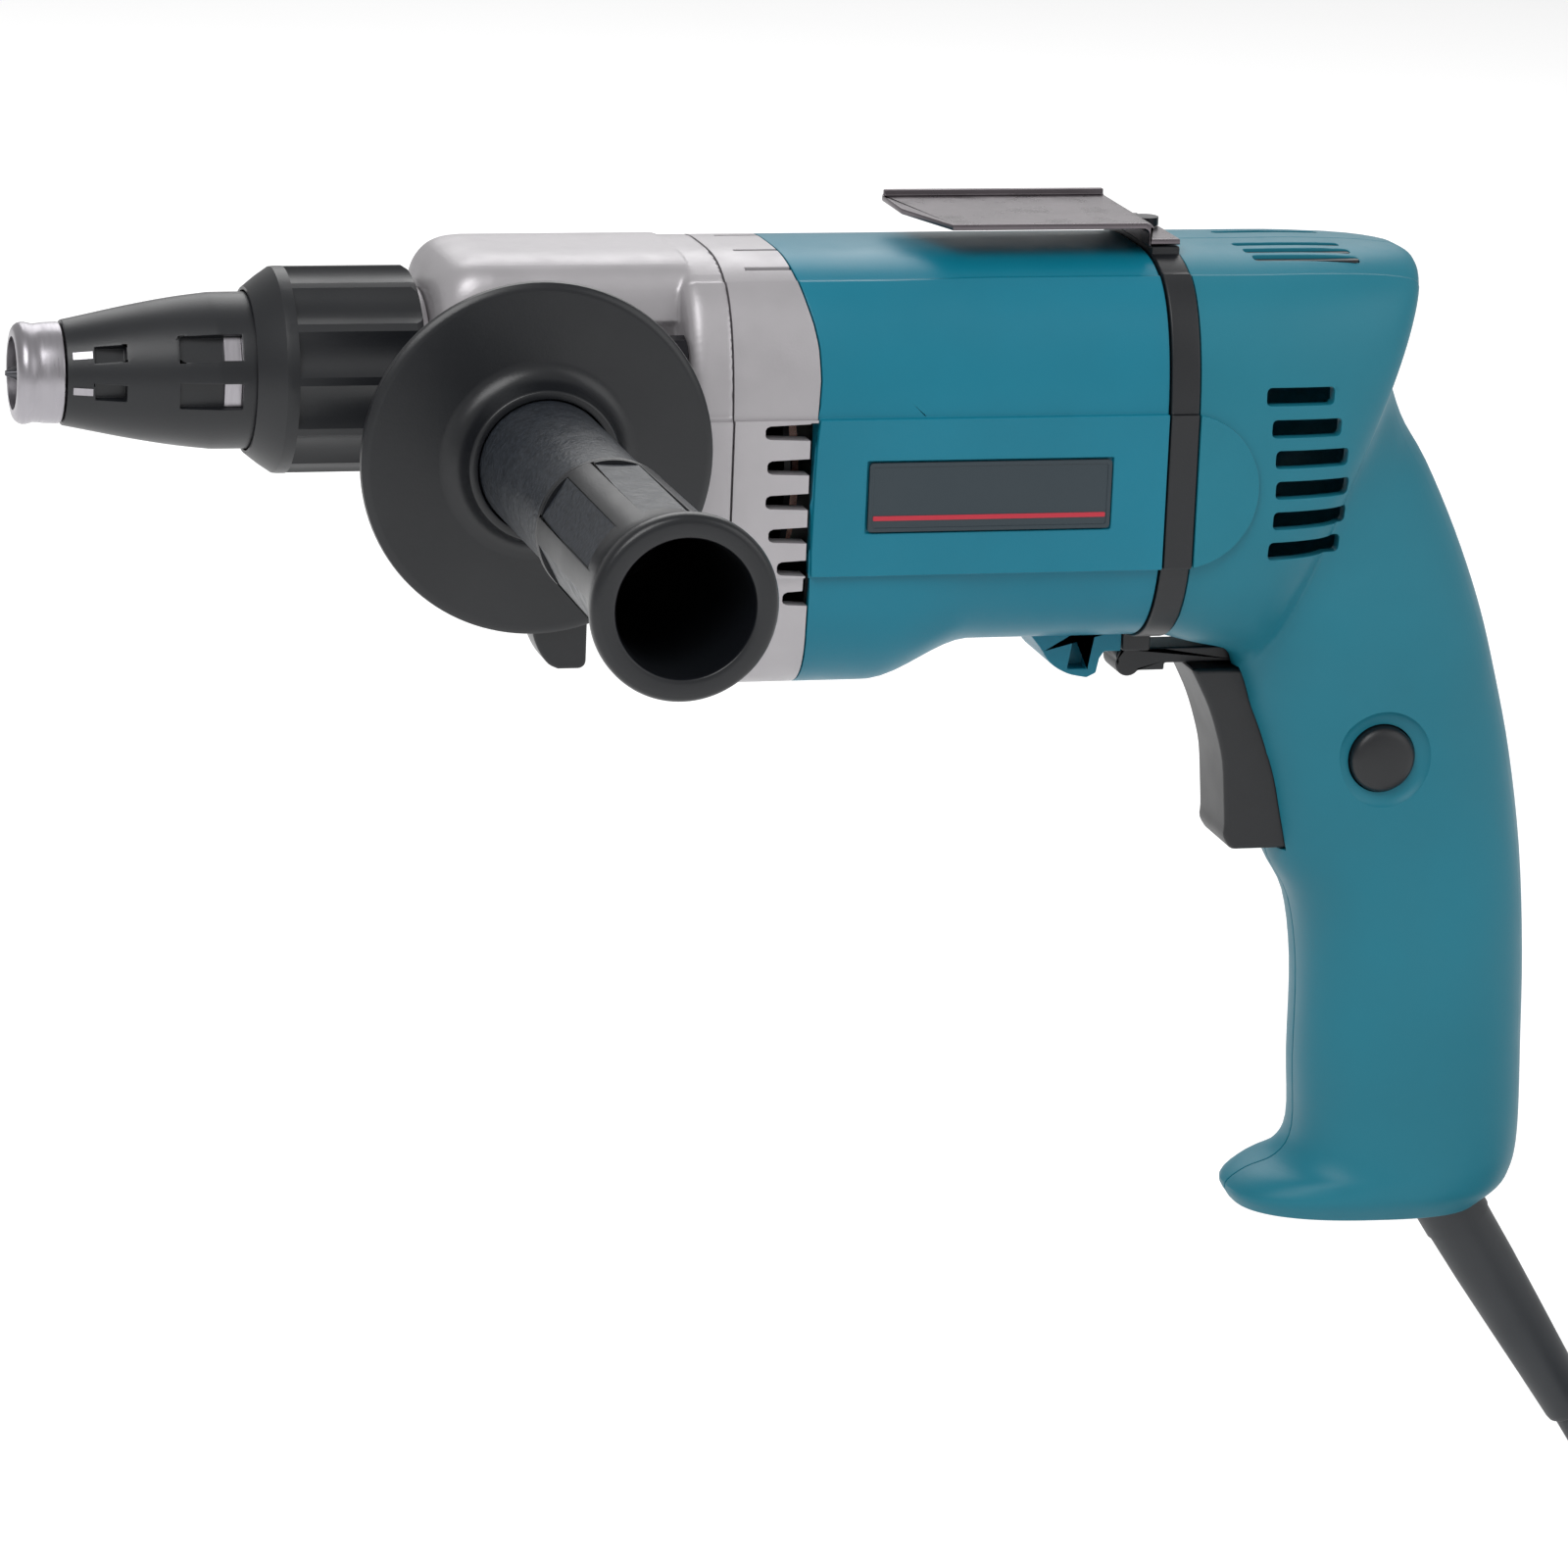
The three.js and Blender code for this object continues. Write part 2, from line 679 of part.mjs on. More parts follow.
// Each row: front place and rear place as shares of the reach and the drop, then half width as a share
const handleShares = [
  [0, 0.378, 0, 0, 1],
  [0.085, 0.388, 0.15, 0, 0.995],
  [0.155, 0.395, 0.335, 0, 0.92],
  [0.19, 0.404, 0.505, 0.004, 0.765],
  [0.2, 0.417, 0.57, 0.014, 0.66],
  [0.21, 0.429, 0.545, 0.048, 0.64],
  [0.222, 0.444, 0.525, 0.108, 0.655],
  [0.233, 0.461, 0.566, 0.164, 0.655],
  [0.25, 0.481, 0.637, 0.213, 0.64],
  [0.267, 0.503, 0.718, 0.283, 0.615],
  [0.29, 0.535, 0.788, 0.357, 0.596],
  [0.312, 0.579, 0.839, 0.429, 0.587],
  [0.336, 0.619, 0.887, 0.51, 0.58],
  [0.392, 0.663, 0.927, 0.607, 0.577],
  [0.421, 0.734, 0.953, 0.715, 0.565],
  [0.427, 0.83, 0.965, 0.813, 0.555],
  [0.435, 0.902, 0.972, 0.882, 0.555],
  [0.4, 0.931, 0.971, 0.921, 0.56],
  [0.327, 0.944, 0.961, 0.944, 0.57],
  [0.281, 0.96, 0.939, 0.962, 0.565],
  [0.3, 0.977, 0.88, 0.983, 0.5],
];

function handlePoint(acrossShare, downShare) {
  return new THREE.Vector3(bandBack + acrossShare * handleReach, 0, barrelTop - downShare * handleDrop);
}

function handleRing([frontAcross, frontDown, rearAcross, rearDown, wide], inset) {
  const front = handlePoint(frontAcross, frontDown);
  const rear = handlePoint(rearAcross, rearDown);
  const centre = front.clone().add(rear).multiplyScalar(1 / 2);
  const half = rear.clone().sub(centre);
  half.setLength(half.length() - inset);
  const across = axisY.clone().multiplyScalar(wide * barrelHalfWidth - inset);
  return powerRing(centre, across, half, handlePower, handleCount);
}

function handleBody(rows, inset) {
  return lofted(rows.map((row) => handleRing(row, inset)));
}

function handleInner() {
  const rings = handleCavityRows.map((row) => handleRing(handleShares[row], plasticWall));
  const mouth = rings[0].map((p) => p.clone().addScaledVector(axisX, -overrun));
  return lofted([mouth, ...rings]);
}

// Vents on the flanks and on the roof of the handle
const ventCount = 6;
const ventPitch = 6.1;
const ventHeight = 3.1;
const ventLength = 12.6;
const ventTop = barrelTop - 26.7;
const ventMiddle = -36.6;
const ventTilt = THREE.MathUtils.degToRad(7);
const roofVentShares = [-1, 0, 1];
const roofVentPitch = 6;
const roofVentWidth = 3;
const roofVentLength = 21;
const roofVentMiddle = -31;

function flankVents() {
  const vents = [];
  for (let i = 0; i < ventCount; i++) {
    const bow = Math.sin((Math.PI * (i + 1)) / (ventCount + 1));
    const geometry = new THREE.BoxGeometry(ventLength, 2 * barrelHalfWidth + overrun, ventHeight);
    geometry.rotateY(-ventTilt);
    geometry.translate(ventMiddle + bow * ventHeight / 2, 0, ventTop - i * ventPitch);
    vents.push(solidOf(geometry));
  }
  return vents;
}

function roofVents() {
  const halfLength = roofVentLength / 2;
  const halfWidth = roofVentWidth / 2;
  return roofVentShares.map((share) => {
    const y = share * roofVentPitch;
    const x = roofVentMiddle + share * roofVentWidth;
    return block(
      x - halfLength, x + halfLength, y - halfWidth, y + halfWidth,
      barrelTop - 3 * plasticWall, barrelTop + overrun,
    );
  });
}

// Trigger: a curved paddle that slides back into the handle's front
const triggerHalfWidth = 8.5;
const triggerTravel = 6;
const leverTop = barrelRearBottom - 4.4;
const leverThickness = 3.2;
const leverUnderGap = 0.4;
const triggerTop = leverTop - leverThickness - leverUnderGap;
const triggerHeight = 37.4;
const triggerReach = 16;
const triggerTopFront = -50.8;
const triggerStemEnd = -23.6;
const stemHalfWidth = 5;
const stemHalfHeight = 6;
const stemDrop = 13;
const stemHeight = triggerTop - stemDrop;

// Each row: share of the reach back from the top front corner, and share of the height down from the top
const triggerFrontShares = [
  [0, 0],
  [0.14, 0.11],
  [0.275, 0.23],
  [0.39, 0.37],
  [0.48, 0.52],
  [0.525, 0.72],
  [0.55, 0.86],
  [0.55, 0.93],
  [0.65, 1],
];
const triggerBackShares = [[1.45, 1], [1.4, 0.8], [1.24, 0.48], [1.05, 0.21], [0.89, 0]];

function triggerPoint([back, down]) {
  return [triggerTopFront + back * triggerReach, triggerTop - down * triggerHeight];
}

function trigger() {
  const outline = [...triggerFrontShares, ...triggerBackShares].map(triggerPoint);
  const paddle = slabXZ(outline, -triggerHalfWidth, triggerHalfWidth);
  const stemStart = triggerTopFront + triggerReach / 2;
  const stem = block(
    stemStart, triggerStemEnd, -stemHalfWidth, stemHalfWidth, stemHeight - stemHalfHeight,
    stemHeight + stemHalfHeight,
  );
  return paddle.add(stem);
}

// The way that the trigger sweeps as it is pressed
function triggerWay() {
  const front = triggerFrontShares.map(triggerPoint);
  const top = triggerTop + clearance;
  const bottom = triggerTop - triggerHeight - clearance;
  const rear = triggerBackShares.map(triggerPoint).map(([x, z]) => [x + triggerTravel + clearance, z]);
  const half = triggerHalfWidth + clearance;
  const low = [[front[front.length - 1][0], bottom], [rear[0][0], bottom]];
  const high = [[rear[rear.length - 1][0], top], [front[0][0], top]];
  const outline = [...front, ...low, ...rear.slice(1, -1), ...high];
  return slabXZ(outline, -half, half);
}

// Reversing lever: a flat arm on an upright pivot, with a turned-down paddle under the barrel
const leverPivot = -38.5;
const leverHalfWidth = 4.5;
const leverFront = -65.2;
const leverPaddleDepth = 5;
const leverPaddleDrop = 1.4;
const leverPaddleLength = 10;
const leverPivotRadius = 5;
const leverSwing = THREE.MathUtils.degToRad(12);

function reversingLever() {
  const bottom = leverTop - leverThickness;
  const arm = block(leverFront, leverPivot, -leverHalfWidth, leverHalfWidth, bottom, leverTop);
  const hub = rod('z', leverPivotRadius, bottom, leverTop, [leverPivot, 0, 0]);
  const roundPlace = [leverFront + leverPaddleDepth / 2, 0, bottom];
  const paddle = rod('y', leverPaddleDepth / 2, -leverHalfWidth, leverHalfWidth, roundPlace, smallSteps);
  const lip = block(
    roundPlace[0], leverFront + leverPaddleLength, -leverHalfWidth, leverHalfWidth,
    bottom - leverPaddleDrop, leverTop - clearance,
  );
  return joined([arm, hub, paddle, lip]);
}

// The fan-shaped way that the lever sweeps
function leverWay() {
  const reach = leverPivot - leverFront + overrun;
  const half = leverHalfWidth + clearance;
  const spread = reach * Math.tan(leverSwing);
  const far = leverPivot - reach;
  const top = leverTop + clearance;
  const bottom = leverTop - leverThickness - clearance;
  const fan = slabXY(
    [[leverPivot, -half], [leverPivot, half], [far, half + spread], [far, -half - spread]], bottom,
    top,
  );
  return fan.add(rod('z', leverPivotRadius + clearance, bottom, top, [leverPivot, 0, 0]));
}

// Lock button on the left flank of the grip
const lockX = -13;
const lockDrop = 17;
const lockZ = triggerTop - lockDrop;
const lockRadius = 6.7;
const lockFace = 18.7;
const lockDepth = 4.6;
const lockDishRadius = 10;
const lockDishDepth = 1.3;
const lockCrown = 0.5;

// Each row: share of the crown out from the button's face, and share of its radius
const lockCrownShares = [[1, 0], [1, 0.6], [0, 0.92], [-1, 1]];

function lockButton() {
  const crown = lockCrownShares.map(([out, wide]) => [-lockFace - out * lockCrown, wide * lockRadius]);
  const inner = -lockFace + lockDepth;
  return turnedOn('y', [...crown, [inner, lockRadius], [inner, 0]], [lockX, 0, lockZ], smallSteps);
}

// Switch inside the grip, behind the trigger
const switchFront = triggerStemEnd + triggerTravel + clearance;
const switchLength = 22;
const switchHalfWidth = 10;
const switchDepth = 29;
const switchBottom = triggerTop - switchDepth;
const switchTop = triggerTop;
const switchLedge = 0.5;

function switchBody() {
  const body = block(
    switchFront, switchFront + switchLength, -switchHalfWidth, switchHalfWidth, switchBottom,
    switchTop,
  );
  const neckFront = triggerStemEnd - switchLedge;
  const half = stemHalfHeight + clearance;
  const sleeve = block(
    neckFront, switchFront + overrun, -stemHalfWidth - overrun, stemHalfWidth + overrun,
    stemHeight - half - overrun, stemHeight + half + overrun,
  );
  const way = block(
    neckFront - overrun, switchFront, -stemHalfWidth - clearance, stemHalfWidth + clearance,
    stemHeight - half, stemHeight + half,
  );
  return body.add(sleeve).subtract(way);
}

// Cord outlet at the heel of the grip
const cordDiameter = 8;
const guardRootX = 15.7;
const guardRootZ = -65.6;
const guardFall = THREE.MathUtils.degToRad(57);
const guardInside = 17;
const guardOutside = 52;
const guardRootRadius = 7.1;
const guardEndRadius = 5.1;
const guardCollarRadius = 8.6;
const guardCollarWidth = 3;
const guardCollarStart = -14;
const guardTaperShares = [0.25, 0.5, 0.75, 1];

// A solid modelled along +Z from zero, laid along the cord's heading from the guard's root
function onCordLine(solid) {
  return solid
    .rotate([0, THREE.MathUtils.radToDeg(Math.PI / 2 + guardFall), 0])
    .translate([guardRootX, 0, guardRootZ]);
}

function cordGuard() {
  const collarEnd = guardCollarStart + guardCollarWidth;
  const radiusAt = (share) => THREE.MathUtils.lerp(guardRootRadius, guardEndRadius, share);
  const taper = guardTaperShares.map((share) => [share * guardOutside, radiusAt(share)]);
  const profile = [
    [-guardInside, 0],
    [-guardInside, guardRootRadius],
    [guardCollarStart, guardRootRadius],
    [guardCollarStart, guardCollarRadius],
    [collarEnd, guardCollarRadius],
    [collarEnd, guardRootRadius],
    [0, guardRootRadius],
    ...taper,
    [guardOutside, 0],
  ];
  return onCordLine(turnedOn('z', profile, [0, 0, 0], smallSteps));
}

function guardHole() {
  const collarEnd = guardCollarStart + guardCollarWidth;
  const way = rod(
    'z', guardRootRadius + clearance, -guardInside - overrun, guardOutside, [0, 0, 0], smallSteps,
  );
  const groove = rod(
    'z', guardCollarRadius + clearance, guardCollarStart - clearance, collarEnd + clearance,
    [0, 0, 0], smallSteps,
  );
  return [onCordLine(way), onCordLine(groove)];
}

// Handle screws, driven from the right
const handleScrewRadius = 1.7;
const handleScrewHeadRadius = 3.2;
const handleScrewHeadDepth = 6;
const handleScrewBossRadius = 4.2;
const handleScrewLength = 20;
const handleScrewSlotWidth = 1;
const handleScrewSlotStart = 1;
const handleScrewPlaces = [[-49, barrelTop - 12.7], [-15, barrelTop - 17.7], [12, 6], [-15, -48]];
const handleScrewSeats = [21, 13, 10.5, 10.5];

function handleScrew([x, z], seat) {
  const head = rod(
    'y', handleScrewHeadRadius, seat + clearance, seat + clearance + handleScrewRadius, [x, 0, z],
    smallSteps,
  );
  const shank = rod(
    'y', handleScrewRadius, seat - handleScrewLength, seat + clearance + handleScrewRadius / 2,
    [x, 0, z], shankSteps,
  );
  const slotHalf = handleScrewSlotWidth / 2;
  const slotStart = seat + clearance + handleScrewSlotStart;
  const slot = block(
    x - handleScrewHeadRadius, x + handleScrewHeadRadius, slotStart, slotStart + handleScrewHeadDepth,
    z - slotHalf, z + slotHalf,
  );
  return head.add(shank).subtract(slot);
}

// Cord clamp inside the heel, on a rib of the handle halves
const clampLength = 16;
const clampHalfWidth = 5;
const clampThickness = 3;
const clampX = -2;
const clampZ = -46;
const clampRibHalf = 4;
const clampRibDepth = 6;

function cordClamp() {
  const half = clampLength / 2;
  return block(
    clampX - half, clampX + half, -clampHalfWidth, clampHalfWidth, clampZ, clampZ + clampThickness,
  );
}

function clampRib() {
  const top = clampZ - clearance;
  return block(
    clampX - clampRibHalf, clampX + clampRibHalf, -barrelHalfWidth, barrelHalfWidth,
    top - clampRibDepth, top,
  );
}

function handleHalf(side) {
  const outer = handleBody(handleShares, 0).add(flankPanel(bandBack, flankEnd + overrun));
  const inner = handleInner();
  const posts = joined(handleScrewPlaces.map(([x, z]) => rod(
    'y', handleScrewBossRadius, -barrelHalfWidth, barrelHalfWidth, [x, 0, z], shankSteps,
  )));
  const holes = handleScrewPlaces.flatMap(([x, z], i) => [
    rod(
      'y', handleScrewRadius + clearance, handleScrewSeats[i] - handleScrewLength - clearance,
      handleScrewSeats[i] + overrun, [x, 0, z], shankSteps,
    ),
    rod(
      'y', handleScrewHeadRadius + clearance, handleScrewSeats[i], barrelHalfWidth + overrun,
      [x, 0, z], headSteps,
    ),
  ]);
  const seats = posts.add(clampRib()).intersect(handleBody(handleShares, plasticWall / 2));
  const shell = outer.subtract(inner).add(seats);
  const switchRoom = block(
    triggerStemEnd - switchLedge - clearance, switchFront + switchLength + clearance,
    -switchHalfWidth - clearance, switchHalfWidth + clearance,
    switchBottom - clearance, switchTop + clearance,
  );
  const lockHole = rod(
    'y', lockRadius + clearance, -barrelHalfWidth, -switchHalfWidth - clearance, [lockX, 0, lockZ],
    smallSteps,
  );
  const dishFloor = -lockFace + lockDishDepth;
  const dishEdge = -lockFace - overrun;
  const dishProfile = [
    [dishEdge, 0], [dishEdge, lockDishRadius + overrun], [dishFloor, lockRadius], [dishFloor, 0],
  ];
  const dish = turnedOn('y', dishProfile, [lockX, 0, lockZ], smallSteps);
  const ways = [triggerWay(), leverWay(), ...guardHole(), switchRoom, lockHole, dish];
  const whole = cutBy(shell, [...holes, ...flankVents(), ...roofVents(), ...ways]);
  const far = 2 * barrelHalfWidth;
  const keep = side < 0
    ? block(bandBack - overrun, handleReach, -far, -halvesGap / 2, -handleDrop, barrelTop + overrun)
    : block(bandBack - overrun, handleReach, halvesGap / 2, far, -handleDrop, barrelTop + overrun);
  return whole.intersect(keep);
}

// Motor: armature with its shaft, core, winding and commutator, inside a field core with two coils
const shaftBack = -68;
const pinionFront = gearFront;
const coreBore = 0.564 * barrelHalfWidth;
const airGap = 0.45;
const armatureRadius = coreBore - airGap;
const armatureSlots = 8;
const slotRadius = 2;
const slotInset = 1.9;
const slotCircle = armatureRadius - slotInset;
const windingRadius = 1.6;
const windingSides = 4;
const windingEndLength = 5;
const windingEndInset = 1.2;
const windingEndOuter = armatureRadius - windingEndInset;
const windingEndInner = 6.2;
const commutatorFront = -83.5;
const commutatorLength = 9;
const commutatorRadius = 0.337 * barrelHalfWidth;
const commutatorBars = 10;
const commutatorGroove = 0.7;
const fanBack = -138.6;
const fanWidth = 6.6;
const fanRadius = 0.817 * barrelHalfWidth;
const fanBlades = 9;
const fanHubRadius = 7.5;
const fanDisc = 1.2;
const fanBladeThickness = 1.2;
const fanBladeSweep = THREE.MathUtils.degToRad(28);
const motorCentre = [0, 0, motorHeight];
const pressureAngle = THREE.MathUtils.degToRad(20);
const toothPlay = 0.16;
const driveGearAddendum = 0.85 * gearModule;
const pinionAddendum = 0.9 * gearModule;
const toothDedendum = 1.2 * gearModule;

function involute(baseRadius, radius) {
  const lean = Math.acos(Math.min(1, baseRadius / radius));
  return Math.tan(lean) - lean;
}

// One tooth outline repeated round the gear; the first tooth is centred on the phase
function gearOutline(teeth, addendum, phase, flankSteps) {
  const pitchRadius = (gearModule * teeth) / 2;
  const baseRadius = pitchRadius * Math.cos(pressureAngle);
  const rootRadius = pitchRadius - toothDedendum;
  const tipRadius = pitchRadius + addendum;
  const pitchHalf = Math.PI / (2 * teeth) - toothPlay / (2 * pitchRadius);
  const flankStart = Math.max(baseRadius, rootRadius);
  const shares = Array.from({ length: flankSteps + 1 }, (_, i) => i / flankSteps);
  const radii = shares.map((share) => THREE.MathUtils.lerp(flankStart, tipRadius, share));
  const flank = radii.map((radius) => [
    radius, pitchHalf + involute(baseRadius, pitchRadius) - involute(baseRadius, radius),
  ]);
  const root = [rootRadius, flank[0][1] + (rootRadius < flankStart ? 0 : toothPlay / rootRadius)];
  const side = rootRadius < flankStart ? [root, ...flank] : flank;
  const outline = [];
  ringOfTurns(teeth, phase).forEach((turn) => {
    side.forEach(([radius, half]) => outline.push([
      radius * Math.cos(turn - half), radius * Math.sin(turn - half),
    ]));
    [...side].reverse().forEach(([radius, half]) => outline.push([
      radius * Math.cos(turn + half), radius * Math.sin(turn + half),
    ]));
  });
  return outline;
}

function armatureShaft() {
  const shaft = rod('x', motorShaftRadius, gearBack + overrun / 2, shaftBack, motorCentre);
  const pinion = slabYZ(
    gearOutline(pinionTeeth, pinionAddendum, Math.PI / 2, 3), pinionFront, gearBack + overrun, 0,
    motorHeight,
  );
  return shaft.add(pinion);
}

function armatureCore() {
  const body = pipe(
    'x', armatureRadius, motorShaftRadius + clearance, coreFront, coreFront + coreLength, motorCentre,
  );
  const slots = ringOfTurns(armatureSlots).map((turn) => {
    const place = [0, slotCircle * Math.cos(turn), motorHeight + slotCircle * Math.sin(turn)];
    return rod('x', slotRadius, coreFront - overrun, coreFront + coreLength + overrun, place, hexSides);
  });
  return cutBy(body, slots);
}

function armatureWinding() {
  const coreBack = coreFront + coreLength;
  const ends = [
    [coreFront - clearance - windingEndLength, coreFront - clearance],
    [coreBack + clearance, coreBack + clearance + windingEndLength],
  ];
  const bands = ends.map(([start, end]) => pipe(
    'x', windingEndOuter, windingEndInner, start, end, motorCentre, smallSteps,
  ));
  const bars = ringOfTurns(armatureSlots).map((turn) => {
    const place = [0, slotCircle * Math.cos(turn), motorHeight + slotCircle * Math.sin(turn)];
    return rod('x', windingRadius, coreFront - overrun, coreBack + overrun, place, windingSides);
  });
  return joined([...bands, ...bars]);
}

function commutator() {
  const body = pipe(
    'x', commutatorRadius, motorShaftRadius + clearance, commutatorFront,
    commutatorFront + commutatorLength, motorCentre,
  );
  const grooves = ringOfTurns(commutatorBars).map((turn) => {
    const cutter = block(
      commutatorFront - overrun, commutatorFront + commutatorLength + overrun,
      -commutatorGroove / 2, commutatorGroove / 2,
      motorHeight + commutatorRadius - commutatorGroove, motorHeight + commutatorRadius + overrun,
    );
    return turnedAboutX(cutter, turn, motorHeight);
  });
  return cutBy(body, grooves);
}

function fan() {
  const front = fanBack - fanWidth;
  const hub = rod('x', fanHubRadius, front, fanBack, motorCentre, sleeveSteps);
  const disc = rod('x', fanRadius, fanBack - fanDisc, fanBack, motorCentre);
  const blades = ringOfTurns(fanBlades).map((turn) => {
    const length = fanRadius - fanHubRadius;
    const geometry = new THREE.BoxGeometry(fanWidth, fanBladeThickness, length + overrun);
    geometry.rotateX(fanBladeSweep);
    geometry.translate((front + fanBack) / 2, 0, fanHubRadius + length / 2);
    return solidOf(geometry).rotate([THREE.MathUtils.radToDeg(turn), 0, 0]).translate([0, 0, motorHeight]);
  });
  const round = rod('x', fanRadius, front, fanBack, motorCentre);
  const bore = rod('x', motorShaftRadius + clearance, front - overrun, fanBack + overrun, motorCentre);
  return joined([hub, disc, ...blades]).intersect(round).subtract(bore);
}

function frontMotorBearing() {
  const start = partingPlace + motorBearingLip;
  return pipe(
    'x', motorBearingRadius, motorShaftRadius + clearance, start, start + motorBearingWidth,
    motorCentre,
  );
}

function rearMotorBearing() {
  const end = rearWallPlace + rearBearingWidth - clearance;
  return pipe('x', rearBearingRadius, motorShaftRadius + clearance, end - rearBearingWidth, end, motorCentre);
}

const poleHalfTurn = THREE.MathUtils.degToRad(52);
const coilHalfTurn = THREE.MathUtils.degToRad(80);
const yokeInner = 0.724 * barrelHalfWidth;
const coilEndLength = 5.5;

// A wedge of a tube about the motor's line, centred on the +Z side
function motorWedge(outer, inner, halfTurn, start, end) {
  const outside = arcPoints(0, 0, outer, Math.PI / 2 - halfTurn, Math.PI / 2 + halfTurn, fluteSteps);
  const inside = arcPoints(0, 0, inner, Math.PI / 2 + halfTurn, Math.PI / 2 - halfTurn, fluteSteps);
  return slabYZ([...outside, ...inside], start, end, 0, motorHeight);
}

function bothPoles(solid) {
  return solid.add(turnedAboutX(solid, Math.PI, motorHeight));
}

function fieldCore() {
  const end = coreFront + coreLength;
  const yoke = pipe('x', coreOuterRadius, yokeInner, coreFront, end, motorCentre, fineSteps);
  const pole = motorWedge(yokeInner + overrun / 2, coreBore, poleHalfTurn, coreFront, end);
  return yoke.add(bothPoles(pole));
}

function fieldCoil(turn) {
  const end = coreFront + coreLength;
  const slack = 2 * clearance / coreBore;
  const outer = motorWedge(
    yokeInner - clearance, coreBore + clearance, coilHalfTurn, coreFront - coilEndLength,
    end + coilEndLength,
  );
  const pole = motorWedge(
    yokeInner + overrun, coreBore - overrun, poleHalfTurn + slack, coreFront - clearance,
    end + clearance,
  );
  return turnedAboutX(outer.subtract(pole), turn, motorHeight);
}

// Fan baffle: a plate between the fan and the core
const baffleFront = -135.4;
const baffleDepth = 1.6;
const baffleHole = 0.609 * barrelHalfWidth;

function fanBaffle() {
  const plate = barrelBody(baffleFront, baffleFront + baffleDepth, plasticWall + clearance);
  const hole = rod('x', baffleHole, baffleFront - overrun, baffleFront + baffleDepth + overrun, motorCentre);
  const notches = caseScrewPlaces.map(([y, z]) => rod(
    'x', caseScrewBossRadius + clearance, baffleFront - overrun, baffleFront + baffleDepth + overrun,
    [0, y, z], headSteps,
  ));
  return cutBy(plate, [hole, ...notches]);
}

// Carbon brushes in their holders, one each side of the commutator
const brushHalfWidth = 3;
const brushHalfHeight = 2.4;
const brushHolderWall = 1.6;
const brushEnd = 0.769 * barrelHalfWidth;
const brushMiddle = commutatorFront + commutatorLength / 2;
const brushHolderEnd = barrelHalfWidth - plasticWall - 3 * clearance;

function brushPlaces(side, near, far) {
  return side < 0 ? [-far, -near] : [near, far];
}

function carbonBrush(side) {
  const [y0, y1] = brushPlaces(side, commutatorRadius + clearance, brushEnd);
  return block(
    brushMiddle - brushHalfWidth, brushMiddle + brushHalfWidth, y0, y1, motorHeight - brushHalfHeight,
    motorHeight + brushHalfHeight,
  );
}

function brushHolder(side) {
  const near = commutatorRadius + 2 * clearance + brushHolderWall;
  const [y0, y1] = brushPlaces(side, near, brushHolderEnd);
  const [c0, c1] = brushPlaces(side, near - overrun, brushEnd + clearance);
  const halfX = brushHalfWidth + clearance;
  const halfZ = brushHalfHeight + clearance;
  const outer = block(brushMiddle - halfX - brushHolderWall, brushMiddle + halfX + brushHolderWall, y0, y1,
    motorHeight - halfZ - brushHolderWall, motorHeight + halfZ + brushHolderWall);
  return outer.subtract(block(
    brushMiddle - halfX, brushMiddle + halfX, c0, c1, motorHeight - halfZ, motorHeight + halfZ,
  ));
}

// Drive gear with clutch jaws, spindle with matching jaws, and the spring that parts them
const jawCount = 5;
const jawHalfTurn = THREE.MathUtils.degToRad(13);
const jawInner = 8.8;
const jawOuter = 12.4;
const jawHeight = 3;
const jawGap = 2;
const spindlePinRadius = 4;
const spindleFlangeRadius = 12.6;
const spindleFlangeWidth = 3;
const spindleFlangeBack = gearFront - 2 * jawHeight - jawGap;
const spindleFlangeFront = spindleFlangeBack - spindleFlangeWidth;
const spindleEnd = partingPlace + overrun / 2;
const socketRadius = 8.5;
const socketFront = -238;
const socketBack = -215;
const bitFlats = 6.35;
const socketDepth = 20.5;
const springWire = 0.7;
const springMiddle = 6.2;
const springRecessRadius = 7.9;
const springRecessDepth = 4;
const springTurns = 4;
const springStepsPerTurn = 10;
const springSides = 5;
const spindleCentre = [0, 0, spindleHeight];

function jaws(start, end, phase) {
  const outside = arcPoints(0, 0, jawOuter, -jawHalfTurn, jawHalfTurn, 3);
  const inside = arcPoints(0, 0, jawInner, jawHalfTurn, -jawHalfTurn, 3);
  const jaw = slabYZ([...outside, ...inside], start, end, 0, spindleHeight);
  return ringOfTurns(jawCount, phase).map((turn) => turnedAboutX(jaw, turn, spindleHeight));
}

function driveGear() {
  const phase = -Math.PI / 2 + Math.PI / driveGearTeeth;
  const wheel = slabYZ(
    gearOutline(driveGearTeeth, driveGearAddendum, phase, 1), gearFront, gearBack, 0, spindleHeight,
  );
  const bore = rod(
    'x', spindlePinRadius + clearance, gearFront - overrun, gearBack + overrun, spindleCentre,
    sleeveSteps,
  );
  const recess = rod(
    'x', springRecessRadius, gearFront - overrun, gearFront + springRecessDepth, spindleCentre,
    sleeveSteps,
  );
  const teeth = jaws(gearFront - jawHeight, gearFront + overrun / 2, 0);
  return cutBy(joined([wheel, ...teeth]), [bore, recess]);
}

function hexPoints(flats) {
  const radius = flats / Math.sqrt(3);
  return ringOfTurns(hexSides).map((turn) => [radius * Math.cos(turn), radius * Math.sin(turn)]);
}

